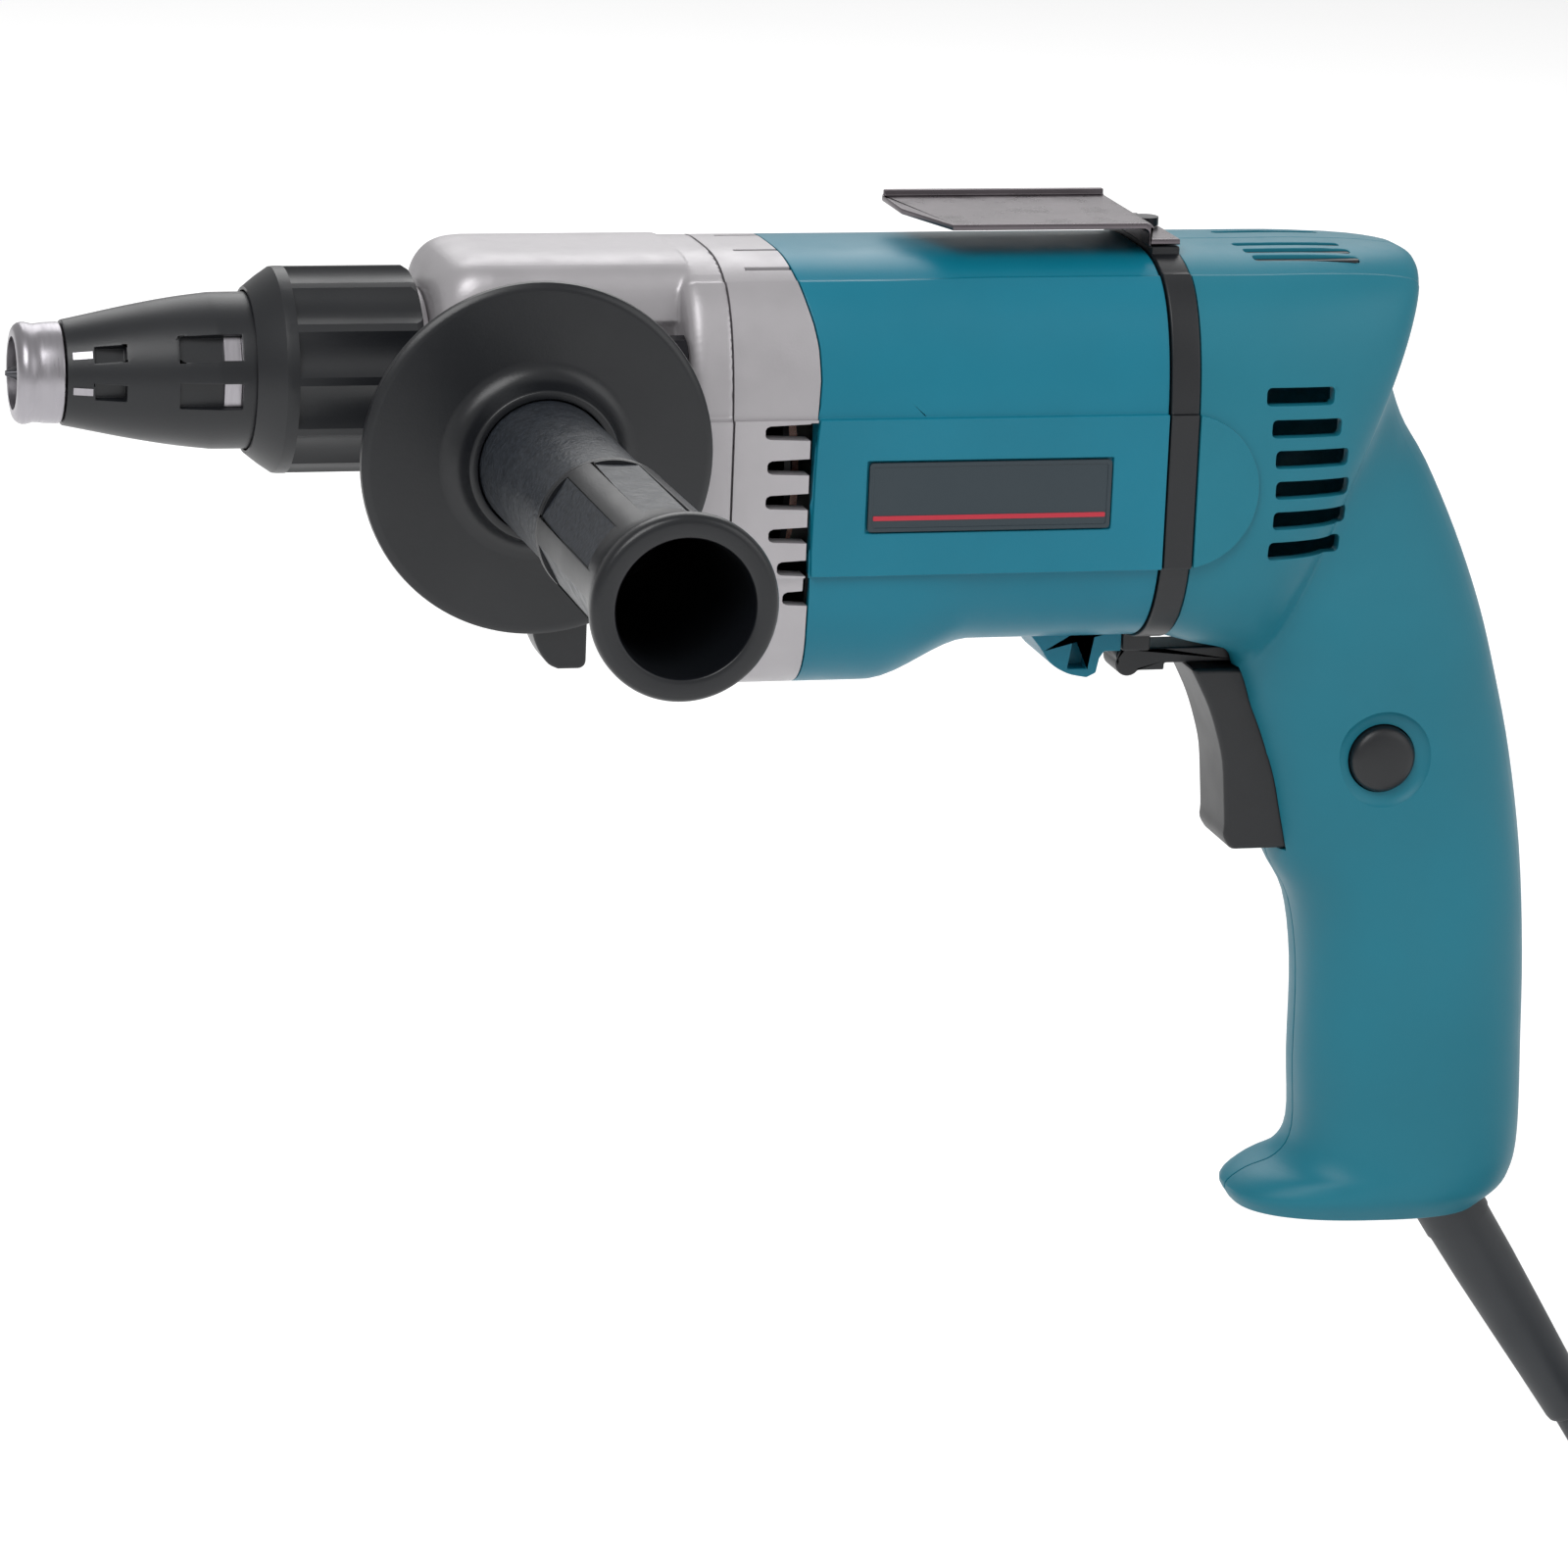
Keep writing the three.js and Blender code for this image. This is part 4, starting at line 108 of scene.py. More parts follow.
class Finish:
    """A node material that is written step by step."""

    def __init__(self, name):
        self.material = bpy.data.materials.new(name)
        self.material.use_nodes = True
        self.tree = self.material.node_tree
        self.shader = self.tree.nodes["Principled BSDF"]
        self.place = self.add("ShaderNodeTexCoord").outputs["Object"]

    def add(self, kind, **values):
        node = self.tree.nodes.new(kind)
        for key, value in values.items():
            if hasattr(node, key):
                setattr(node, key, value)
            else:
                node.inputs[key.replace("_", " ")].default_value = value
        return node

    def link(self, start, end):
        self.tree.links.new(start, end)

    def noise(self, scale, detail=3.0, stretch=None):
        node = self.add("ShaderNodeTexNoise", Scale=scale, Detail=detail)
        source = self.place
        if stretch:
            mapping = self.add("ShaderNodeMapping")
            mapping.inputs["Scale"].default_value = stretch
            self.link(source, mapping.inputs["Vector"])
            source = mapping.outputs["Vector"]
        self.link(source, node.inputs["Vector"])
        return node.outputs["Fac"]

    def spread(self, source, low, high):
        node = self.add("ShaderNodeMapRange")
        ends = {"From Min": NOISE_LOW, "From Max": NOISE_HIGH, "To Min": low, "To Max": high}
        for key, value in ends.items():
            node.inputs[key].default_value = value
        self.link(source, node.inputs["Value"])
        return node.outputs["Result"]

    def colours(self, source, stops):
        ramp = self.add("ShaderNodeValToRGB")
        elements = ramp.color_ramp.elements
        while len(elements) < len(stops):
            elements.new(0.5)
        for element, (position, colour) in zip(elements, stops):
            element.position = position
            element.color = colour
        self.link(source, ramp.inputs["Fac"])
        return ramp.outputs["Color"]

    def bump(self, source, distance, strength=1.0, under=None):
        node = self.add("ShaderNodeBump", Strength=strength, Distance=distance)
        self.link(source, node.inputs["Height"])
        if under:
            self.link(under, node.inputs["Normal"])
        return node.outputs["Normal"]

    def base(self, source, stops):
        self.link(self.colours(source, stops), self.shader.inputs["Base Color"])

    def rough(self, source, rough, half):
        self.link(self.spread(source, rough - half, rough + half), self.shader.inputs["Roughness"])

    def math(self, operation, source, other):
        node = self.add("ShaderNodeMath", operation=operation)
        self.link(source, node.inputs[0])
        if isinstance(other, float):
            node.inputs[1].default_value = other
        else:
            self.link(other, node.inputs[1])
        return node.outputs[0]

    def fixed(self, **values):
        for key, value in values.items():
            self.shader.inputs[key.replace("_", " ")].default_value = value


def shade(colour, factor):
    return (min(1, colour[0] * factor), min(1, colour[1] * factor), min(1, colour[2] * factor), 1)


def blotched(colour, blotch):
    return [(NOISE_LOW, shade(colour, 1 - blotch)), (NOISE_HIGH, shade(colour, 1 + blotch))]


def plastic(name, colour, rough, grain=0.4, grain_depth=0.00003, blotch=0.06, specular=0.5):
    f = Finish(name)
    f.fixed(IOR=1.5, Specular_IOR_Level=specular)
    f.base(f.noise(PLASTIC_BLOTCH, 4), blotched(colour, blotch))
    f.rough(f.noise(PLASTIC_POLISH, 5), rough, 0.05)
    fine = f.bump(f.noise(1000 / grain, 2), grain_depth, GRAIN_STRENGTH)
    ripple = f.bump(f.noise(PLASTIC_RIPPLE, 2), RIPPLE_DEPTH, RIPPLE_STRENGTH, fine)
    f.link(ripple, f.shader.inputs["Normal"])
    return f.material


def leathered(name, colour, rough, cell, depth):
    f = Finish(name)
    cells = f.add("ShaderNodeTexVoronoi", feature="SMOOTH_F1", Scale=1000 / cell)
    f.link(f.place, cells.inputs["Vector"])
    height = cells.outputs["Distance"]
    f.base(height, [(0.1, shade(colour, 1.5)), (0.6, shade(colour, 0.8))])
    f.rough(f.noise(LEATHER_POLISH, 4), rough, 0.08)
    f.link(f.bump(height, depth), f.shader.inputs["Normal"])
    return f.material


def metal(name, colour, rough, brush=None, blotch=0.08, grain_depth=0.00002, metallic=1.0):
    f = Finish(name)
    f.fixed(Metallic=metallic)
    f.base(f.noise(METAL_BLOTCH, 5), blotched(colour, blotch))
    f.rough(f.noise(METAL_POLISH, 5, brush), rough, 0.07)
    grained = f.bump(f.noise(1000 / METAL_GRAIN, 3, brush), grain_depth, GRAIN_STRENGTH)
    f.link(grained, f.shader.inputs["Normal"])
    return f.material


TEAL = linear(12, 117, 140)
# The handle is the same teal plastic as the motor housing; its greyer tone is painted sheen, the haze of
# reflected light on it.
SHEEN_GREYED_TEAL = linear(24, 115, 134)
BLACK = linear(18, 20, 24)
NOSE = linear(21, 23, 27)
GRAIN = linear(40, 44, 50)

finishes = {
    "teal_plastic": plastic("moulded_teal", TEAL, 0.38, specular=0.35),
    "handle_plastic": plastic("moulded_teal_painted_sheen", SHEEN_GREYED_TEAL, 0.44, specular=0.35),
    "black_plastic": plastic("moulded_black", BLACK, 0.42),
    "nose_plastic": plastic("moulded_nose", NOSE, 0.40),
    "guard_plastic": plastic("moulded_guard", BLACK, 0.33, grain=0.5),
    "grip_grain": leathered("grained_grip", GRAIN, 0.4, 0.8, 0.00009),
    "plate": plastic("plate_paint", linear(44, 56, 63), 0.35, blotch=0.03, specular=0.4),
    "plate_stripe": plastic("stripe_paint", linear(186, 36, 56), 0.35, blotch=0.02),
    "cord_rubber": plastic("cord_jacket", linear(44, 47, 51), 0.5, grain=0.5),
    "cast_aluminium": metal(
        "cast_paint", linear(176, 173, 176), 0.4, metallic=0.45, blotch=0.03, grain_depth=0.00004,
    ),
    "hook_steel": metal("hook_finish", linear(104, 98, 102), 0.3, grain_depth=0.000004),
    "ring_steel": metal("ring_finish", linear(166, 163, 168), 0.34, brush=LENGTHWISE, grain_depth=0.000003),
    "steel": metal("ground_steel", linear(186, 186, 190), 0.22, brush=LENGTHWISE),
    "dark_steel": metal("oiled_steel", linear(84, 84, 88), 0.32),
    "black_steel": metal("black_oxide", linear(38, 38, 42), 0.36, metallic=0.8),
    "copper": metal("varnished_copper", linear(176, 96, 52), 0.3, brush=CROSSWISE),
    "brass": metal("pressed_brass", linear(196, 166, 96), 0.28),
    "carbon": plastic("pressed_carbon", linear(26, 26, 28), 0.7),
}

# Shapes

MERGE_REACH = 1e-4
SLIVER = 0.06


def raw(name, verts, faces):
    mesh = bpy.data.meshes.new(name)
    mesh.from_pydata([tuple(v) for v in verts], [], faces)
    bm = bmesh.new()
    bm.from_mesh(mesh)
    bmesh.ops.remove_doubles(bm, verts=bm.verts, dist=MERGE_REACH)
    bmesh.ops.recalc_face_normals(bm, faces=bm.faces)
    bm.to_mesh(mesh)
    bm.free()
    obj = bpy.data.objects.new(name, mesh)
    scene.collection.objects.link(obj)
    return obj


def baked(obj):
    depsgraph = bpy.context.evaluated_depsgraph_get()
    mesh = bpy.data.meshes.new_from_object(obj.evaluated_get(depsgraph))
    obj.modifiers.clear()
    old = obj.data
    obj.data = mesh
    bpy.data.meshes.remove(old)
    return obj


def together(name, objs):
    """One object that holds the meshes of several closed ones."""
    verts = []
    faces = []
    for obj in objs:
        start = len(verts)
        verts += [v.co.copy() for v in obj.data.vertices]
        faces += [[start + i for i in face.vertices] for face in obj.data.polygons]
        bpy.data.objects.remove(obj)
    mesh = bpy.data.meshes.new(name)
    mesh.from_pydata(verts, [], faces)
    obj = bpy.data.objects.new(name, mesh)
    scene.collection.objects.link(obj)
    return obj


def combined(obj, others, operation):
    for other in others:
        step = obj.modifiers.new("combine", "BOOLEAN")
        step.operation = operation
        step.solver = "EXACT"
        step.object = other
    baked(obj)
    for other in others:
        bpy.data.objects.remove(other)
    return obj


def cut(obj, *cutters):
    return combined(obj, cutters, "DIFFERENCE")


def joined(obj, *others):
    return combined(obj, others, "UNION")


def kept(obj, *others):
    return combined(obj, others, "INTERSECT")


def edged(obj, width, angle=32, segments=2):
    bm = bmesh.new()
    bm.from_mesh(obj.data)
    bmesh.ops.dissolve_degenerate(bm, dist=SLIVER, edges=bm.edges)
    bm.to_mesh(obj.data)
    bm.free()
    step = obj.modifiers.new("edges", "BEVEL")
    step.width = width
    step.segments = segments
    step.limit_method = "ANGLE"
    step.angle_limit = radians(angle)
    step.use_clamp_overlap = False
    return baked(obj)


def bounded(obj, half):
    """The object, held to that half width across."""
    for v in obj.data.vertices:
        v.co.y = max(-half, min(half, v.co.y))
    return obj


def shaded(obj, angle=34):
    bm = bmesh.new()
    bm.from_mesh(obj.data)
    for face in bm.faces:
        face.smooth = True
    for edge in bm.edges:
        edge.smooth = len(edge.link_faces) == 2 and edge.calc_face_angle(0) < radians(angle)
    bm.to_mesh(obj.data)
    bm.free()
    step = obj.modifiers.new("even", "WEIGHTED_NORMAL")
    step.keep_sharp = True
    return baked(obj)


def placed(obj, body, slot, *replaced, finish=None):
    obj.data.transform(Matrix.Scale(MM, 4))
    obj.data.materials.clear()
    obj.data.materials.append(finishes[finish or slot])
    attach(obj, body)
    if replaced:
        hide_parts(*replaced)
    return obj


def block(name, x0, x1, y0, y1, z0, z1):
    verts = [(x, y, z) for x in (x0, x1) for y in (y0, y1) for z in (z0, z1)]
    faces = [(0, 1, 3, 2), (4, 6, 7, 5), (0, 4, 5, 1), (2, 3, 7, 6), (0, 2, 6, 4), (1, 5, 7, 3)]
    return raw(name, verts, faces)


def power_shares(turn, power):
    """The shares of half width and half height at one turn of a superellipse."""
    c = cos(turn)
    s = sin(turn)
    return copysign(abs(c) ** (2 / power), c), copysign(abs(s) ** (2 / power), s)


def power_ring(centre, across, up, power, count):
    ring = []
    for i in range(count):
        a, b = power_shares(2 * pi * i / count, power)
        ring.append(centre + across * a + up * b)
    return ring


def loft(name, rings, ends=True):
    count = len(rings[0])
    verts = [p for ring in rings for p in ring]
    faces = []
    for k in range(len(rings) - 1):
        for i in range(count):
            j = (i + 1) % count
            a = k * count
            faces.append((a + i, a + j, a + count + j, a + count + i))
    if ends:
        faces.append(list(range(count))[::-1])
        faces.append([(len(rings) - 1) * count + i for i in range(count)])
    return raw(name, verts, faces)


AXES = {
    "x": (Vector((1, 0, 0)), Vector((0, 1, 0)), Vector((0, 0, 1))),
    "y": (Vector((0, 1, 0)), Vector((0, 0, 1)), Vector((1, 0, 0))),
    "z": (Vector((0, 0, 1)), Vector((1, 0, 0)), Vector((0, 1, 0))),
}


def lathe(name, axis, profile, centre, steps=96, close=False):
    """A turned body. Each profile point is a place along the axis and a radius.

    With close, the last point joins the first.
    """
    along, one, two = AXES[axis]
    base = Vector(centre)
    turns = [2 * pi * i / steps for i in range(steps)]
    rings = []
    for place, radius in profile:
        middle = base + along * place
        rings.append([middle + (one * cos(t) + two * sin(t)) * radius for t in turns])
    if close:
        rings.append([p.copy() for p in rings[0]])
    return loft(name, rings, ends=not close)


def rod(name, axis, radius, start, end, centre, steps=48):
    return lathe(name, axis, [(start, radius), (end, radius)], centre, steps)


def slab(name, near, far):
    """A flat body between two places of the same outline."""
    count = len(near)
    faces = [list(range(count)), [count + i for i in range(count)][::-1]]
    for i in range(count):
        j = (i + 1) % count
        faces.append((i, j, count + j, count + i))
    return raw(name, near + far, faces)


def slab_xz(name, outline, y0, y1):
    return slab(name, [(x, y0, z) for x, z in outline], [(x, y1, z) for x, z in outline])


def slab_xy(name, outline, z0, z1):
    return slab(name, [(x, y, z0) for x, y in outline], [(x, y, z1) for x, y in outline])


def arc(cx, cz, radius, start, end, steps):
    turns = [radians(start + (end - start) * i / steps) for i in range(steps + 1)]
    return [(cx + radius * cos(t), cz + radius * sin(t)) for t in turns]


def curved(points, steps):
    """Points on a smooth curve through the given ones, of any number of values each."""
    result = []
    last = len(points) - 1
    for k in range(last):
        before = points[max(0, k - 1)]
        after = points[min(last, k + 2)]
        for i in range(steps):
            t = i / steps
            row = []
            for a, p, q, b in zip(before, points[k], points[k + 1], after):
                u = (q - a) / 2 if k > 0 else (q - p)
                v = (b - p) / 2 if k + 1 < last else (q - p)
                row.append(p * (2 * t**3 - 3 * t**2 + 1) + u * (t**3 - 2 * t**2 + t)
                           + q * (3 * t**2 - 2 * t**3) + v * (t**3 - t**2))
            result.append(row)
    result.append(list(points[last]))
    return result


def turned_about(obj, axis, angle, centre):
    turn = Matrix.Rotation(angle, 4, axis)
    shift = Matrix.Translation(Vector(centre))
    obj.data.transform(shift @ turn @ shift.inverted())
    return obj


# Cord: its route repeats the route of the CAD solids

CORD = 8.0
GUARD_ROOT = Vector((15.7, 0, -65.6))
GUARD_FALL = radians(57)
GUARD_REACH = 48
GUARD_LINE = Vector((cos(GUARD_FALL), 0, -sin(GUARD_FALL)))
COIL_X = 112
COIL_RADIUS = 54
COIL_Y = -COIL_RADIUS
COIL_PITCH = 8.7
LOOPS_PER_LAYER = 2
LAYERS = 4
LOOP_STEPS = 48
TAIL_TURN = 0.25
ROUTE_STEPS = 4
FLOOR = -146
TIE = 1.2
GAP = 0.3
CORD_REST = FLOOR + TIE + GAP + CORD / 2
LEAD = [
    (44.2, 0, -109.4), (49.5, 0, -117.5), (54.9, 0, -125.2), (59.6, 0, -130.8), (64.8, 0, -135.0),
    (70.7, 0, -138.2), (77.6, 0, -140.2), (84.4, 0, -140.5), (94, 0, -140.5), (103.7, 0, -140.5),
]
TAIL = [
    (168.2, -62.4, -114.4), (168.2, -72, -115), (168, -83, -118.6), (167.4, -94, -124.6),
    (166.2, -105, -130.8), (164.8, -116, -134.4), (163.6, -127, -135), (163.4, -137.6, -135),
]


def coil_place(loops):
    inward = loops % (2 * LOOPS_PER_LAYER)
    wound = loops > LAYERS * LOOPS_PER_LAYER
    from_outside = -inward if wound else min(inward, 2 * LOOPS_PER_LAYER - inward)
    radius = COIL_RADIUS - from_outside * COIL_PITCH
    layer = floor(loops / LOOPS_PER_LAYER + 0.5)
    climb = min(1, max(0, (loops - layer * LOOPS_PER_LAYER) * 2 + 0.5))
    level = min(LAYERS - 1, max(0, layer - 1 + climb))
    turn = pi / 2 - loops * 2 * pi
    height = CORD_REST + level * COIL_PITCH
    return (COIL_X + radius * cos(turn), COIL_Y + radius * sin(turn), height)


def cord_route():
    guard_end = GUARD_ROOT + GUARD_LINE * GUARD_REACH
    steps = round((LAYERS * LOOPS_PER_LAYER + TAIL_TURN) * LOOP_STEPS)
    coil = [coil_place(i / LOOP_STEPS) for i in range(steps + 1)]
    tail = curved(TAIL, ROUTE_STEPS)
    lead = curved([tuple(guard_end)] + LEAD, ROUTE_STEPS)
    return [Vector(p) for p in lead + coil + tail]


def cord_curve(name, points, radius):
    data = bpy.data.curves.new(name, "CURVE")
    data.dimensions = "3D"
    data.bevel_depth = radius * MM
    data.bevel_resolution = 5
    data.use_fill_caps = True
    spline = data.splines.new("POLY")
    spline.points.add(len(points) - 1)
    for point, place in zip(spline.points, points):
        point.co = (*(place * MM), 1)
    spline.use_smooth = True
    obj = bpy.data.objects.new(name, data)
    scene.collection.objects.link(obj)
    return obj


def add_cord():
    route = cord_route()
    cord = cord_curve("mains_cord", route, CORD / 2)
    cord.data.materials.append(finishes["cord_rubber"])
    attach(cord, "tool")
    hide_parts("cord_lead", "cord_coil", "cord_tail")
    return cord, route


PLUG_X = 163.4
PLUG_START = 138
PLUG_Z = -135
PLUG_LENGTH = 38
PLUG_NECK = 5.2
PLUG_HALF_WIDTH = 12.5
PLUG_HALF_HEIGHT = 9.5
PLUG_ROWS = [(0, 0), (0.22, 0.1), (0.42, 0.42), (0.6, 0.9), (0.85, 1), (1, 0.94)]
PLUG_CUT = 0.6


def plug_cuts(name, count, first, pitch, inner, depth, half_height):
    """Bars on both sides of the plug, one behind the other."""
    bars = []
    for i in range(count):
        y = -PLUG_START - first - i * pitch
        for side in (-1, 1):
            x = PLUG_X + side * inner
            near, far = sorted((x, x + side * depth))
            low = PLUG_Z - half_height
            high = PLUG_Z + half_height
            bars.append(block(name, near, far, y - PLUG_CUT, y + PLUG_CUT, low, high))
    return together(name, bars)


def add_plug():
    rings = []
    for along, grow in curved(PLUG_ROWS, 6):
        centre = Vector((PLUG_X, -PLUG_START - along * PLUG_LENGTH, PLUG_Z))
        across = Vector((PLUG_NECK + (PLUG_HALF_WIDTH - PLUG_NECK) * grow, 0, 0))
        up = Vector((0, 0, PLUG_NECK + (PLUG_HALF_HEIGHT - PLUG_NECK) * grow))
        rings.append(power_ring(centre, across, up, 2 + max(0, grow), 64))
    plug = loft("plug_moulding", rings)
    ribs = plug_cuts("ribs", 4, first=3.2, pitch=2.6, inner=6.4, depth=3, half_height=8)
    grips = plug_cuts("grips", 5, first=22, pitch=2.8, inner=PLUG_HALF_WIDTH - 0.5, depth=2, half_height=7)
    cut(plug, ribs, grips)
    return placed(shaded(edged(plug, 0.4, 40)), "tool", "cord_rubber", "plug_body")


cord, cord_points = add_cord()
plug = add_plug()

# Barrel sections that the castings, the motor housing and the band share

BARREL_TOP = 138.7
BARREL_HALF = 31.2
BARREL_POWER = 3.2
BOTTOM_FRONT = 54.2
BOTTOM_REAR = 62.0
STEP_START = -120
STEP_END = -99
NOSE_FACE = -206
FLANGE = -160
PARTING = -151.5
SEAM = -136
SEAM_LINE = [
    (-138.6, 146), (-138.5, 138.7), (-138.1, 136.6), (-136.9, 132), (-135.8, 128), (-135.0, 124),
    (-134.7, 118), (-135.2, 111), (-135.8, 104), (-136.1, 84), (-135.5, 70), (-134.4, 57), (-134.1, 46),
]
SEAM_FADE = 12
CREASE = radians(59)
CREASE_WIDTH = radians(0.4)
CREASE_END = radians(24)
CREASE_RISE = 0.5
BAND_BACK = -59.5
BAND_FRONT = -65.5
FLANK_HALF = 32
FLANK_TOP = 110.5
FLANK_BOTTOM = 80
FLANK_END = -47
SPINDLE_Z = 115
MOTOR_Z = 95.8
WALL = 2.8
CAST_WALL = 3.2
OVER = 2
FLUSH = 0.06
ROOM_SIDES = 64
ROOM_PITCH = 6


def smoothstep(x, low, high):
    t = min(1, max(0, (x - low) / (high - low)))
    return t * t * (3 - 2 * t)


def creased_ring(centre, across, up, power, count, rise):
    """A section whose flat top ends in a small step, with the shoulders standing proud of it."""
    turns = [2 * pi * i / count for i in range(count)]
    for turn in (CREASE, pi - CREASE):
        turns += [turn - CREASE_WIDTH, turn + CREASE_WIDTH]
    ring = []
    for turn in sorted(turns):
        a, b = power_shares(turn, power)
        from_side = min(turn, pi - turn)
        proud = 0 if from_side > CREASE else smoothstep(from_side, CREASE_END, CREASE) * rise
        arm = across * a + up * b
        ring.append(centre + arm + arm.normalized() * proud)
    return ring


def barrel_ring(x, inset, count=112):
    bottom = BOTTOM_FRONT + (BOTTOM_REAR - BOTTOM_FRONT) * smoothstep(x, STEP_START, STEP_END) + inset
    top = BARREL_TOP - inset
    centre = Vector((x, 0, (top + bottom) / 2))
    across = Vector((0, BARREL_HALF - inset, 0))
    up = Vector((0, 0, (top - bottom) / 2))
    return creased_ring(centre, across, up, BARREL_POWER, count, CREASE_RISE)


def seam_at(z):
    """Place of the seam between the castings and the motor housing at a height."""
    for (x0, z0), (x1, z1) in zip(SEAM_LINE, SEAM_LINE[1:]):
        if z >= z1:
            return x0 + (x1 - x0) * (z0 - z) / (z0 - z1)
    return SEAM_LINE[-1][0]


def barrel(name, x0, x1, inset, count=112, pitch=2.4, seam=None):
    """A stretch of the barrel. With seam, the end at SEAM follows the seam line, moved by that much."""
    steps = max(1, round((x1 - x0) / pitch))
    rings = []
    for i in range(steps + 1):
        x = x0 + (x1 - x0) * i / steps
        ring = barrel_ring(x, inset, count)
        if seam is not None:
            share = max(0, 1 - abs(x - SEAM) / SEAM_FADE)
            ring = [p + Vector((share * (seam_at(p.z) - SEAM + seam), 0, 0)) for p in ring]
        rings.append(ring)
    return loft(name, rings)


def flank_slab(name, x0, x1, seam=None):
    """A stretch of the flat flanks. With seam, an end at SEAM follows the seam line too."""
    middle = (FLANK_TOP + FLANK_BOTTOM) / 2
    radius = (FLANK_TOP - FLANK_BOTTOM) / 2
    steps = 6
    rise = [FLANK_BOTTOM + (FLANK_TOP - FLANK_BOTTOM) * i / steps for i in range(steps + 1)]
    left = [(seam_at(z) + seam if x0 == SEAM else x0, z) for z in rise]
    right = [(seam_at(z) + seam if x1 == SEAM else x1, z) for z in rise]
    if x1 > FLANK_END - radius:
        turn = degrees(acos(min(1, max(0, (x0 - FLANK_END + radius) / radius))))
        outline = arc(FLANK_END - radius, middle, radius, -turn, turn, 32)
        return slab_xz(name, outline, -FLANK_HALF, FLANK_HALF)
    return slab_xz(name, right + left[::-1], -FLANK_HALF, FLANK_HALF)


# Gear housing, with cast rounding where its forms meet

NOSE_BOTTOM = 87
NOSE_HALF = 20.18
NOSE_POWER = 3.4
NOSE_TOP_POWER = 5.6
NOSE_ROUND = 10
# Shares of NOSE_ROUND: way back, drop of the top, rise of the bottom; then the share of the half width
NOSE_ROWS = [
    (0, 0.72, 0.9, 0.74), (0.12, 0.42, 0.55, 0.86), (0.35, 0.17, 0.25, 0.94), (0.65, 0.04, 0.07, 0.985),
    (1, 0, 0, 1),
]
NOSE_STRETCH = (-190, -180, -170, FLANGE + OVER)
# Name, radius, start, end, height and sides
GEAR_BORES = [
    ("gear_room", 18.08, -194.5, PARTING + OVER, SPINDLE_Z, 64),
    ("bearing_seat", 12.8, -204.7, -194, SPINDLE_Z, 64),
    ("front_hole", 9.15, NOSE_FACE - OVER, -200, SPINDLE_Z, 64),
    ("pinion_room", 5.2, -161.3, PARTING + OVER, MOTOR_Z, 32),
]
SIDE_X = -192
SIDE_Z = 106.7
SIDE_FACE = 27
SIDE_RADIUS = 13
STUD = 4
CASE_SCREWS = [(-24.65, 121.5), (24.65, 121.5), (-22, 66.5), (22, 66.5)]
SCREW_HOLE = 2.4
RECESS_RADIUS = 6.6
RECESS_PLACES = [(0, -24.65, 122.5), (0, 24.65, 122.5)]
FLANK_SET = 1.4
PARTING_GAP = 0.12
CAST_VOXEL = 0.5
CAST_PASSES = 2
FLANGE_ROWS = [(-160, 2.8), (-159.7, 1.6), (-159, 0.7), (-158, 0.15), (-157, 0)]


def nose_ring(x, drop, rise, half, count=128):
    top = BARREL_TOP - drop
    bottom = NOSE_BOTTOM + rise
    centre = Vector((x, 0, (top + bottom) / 2))
    across = Vector((0, half, 0))
    up = Vector((0, 0, (top - bottom) / 2))
    lower = power_ring(centre, across, up, NOSE_POWER, count)
    upper = power_ring(centre, across, up, NOSE_TOP_POWER, count)
    return upper[:count // 2] + lower[count // 2:]


def cast_round(obj, voxel, passes):
    step = obj.modifiers.new("cast", "REMESH")
    step.mode = "VOXEL"
    step.voxel_size = voxel
    step.adaptivity = 0
    relax = obj.modifiers.new("relax", "SMOOTH")
    relax.factor = 0.5
    relax.iterations = passes
    return baked(obj)


def screw_hole(y, z, start, end):
    return rod("hole", "x", SCREW_HOLE, start, end, (0, y, z), 16)


def add_gear_housing():
    rows = curved(NOSE_ROWS, 4)
    size = NOSE_ROUND
    rings = [nose_ring(NOSE_FACE + a * size, d * size, r * size, h * NOSE_HALF) for a, d, r, h in rows]
    rings += [nose_ring(x, 0, 0, NOSE_HALF) for x in NOSE_STRETCH]
    back = PARTING - PARTING_GAP
    nose = loft("nose_body", rings)
    recesses = [rod("recess", "x", RECESS_RADIUS, -174, FLANGE, place) for place in RECESS_PLACES]
    cut(nose, together("recesses", recesses))
    parts = [
        nose,
        loft("flange", [barrel_ring(x, inset) for x, inset in FLANGE_ROWS] + [barrel_ring(back, 0)]),
        flank_slab("flank", FLANGE + FLANK_SET, back),
        rod("boss", "y", SIDE_RADIUS, -SIDE_FACE, SIDE_FACE, (SIDE_X, 0, SIDE_Z), 64),
    ]
    body = cast_round(together("gear_casting", parts), CAST_VOXEL, CAST_PASSES)
    cuts = []
    for name, radius, start, end, height, sides in GEAR_BORES:
        cuts.append(rod(name, "x", radius, start, end, (0, 0, height), sides))
    reach = SIDE_FACE + OVER
    cuts.append(rod("stud_hole", "y", STUD + GAP, -reach, reach, (SIDE_X, 0, SIDE_Z), 32))
    holes = [screw_hole(y, z, FLANGE - OVER, PARTING + OVER) for y, z in CASE_SCREWS]
    cut(body, *cuts, together("screw_holes", holes))
    placed(shaded(body, 40), "tool", "cast_aluminium", "gear_housing")


# Bearing housing. Each comb slot has the height of its middle and the place of its inner end.

COMB_SLOTS = [
    (108.2, -145.6), (101.5, -145.0), (94.8, -145.1), (88.3, -144.3), (81.9, -142.4), (75.6, -140.6),
]
COMB_HALF = 1.3
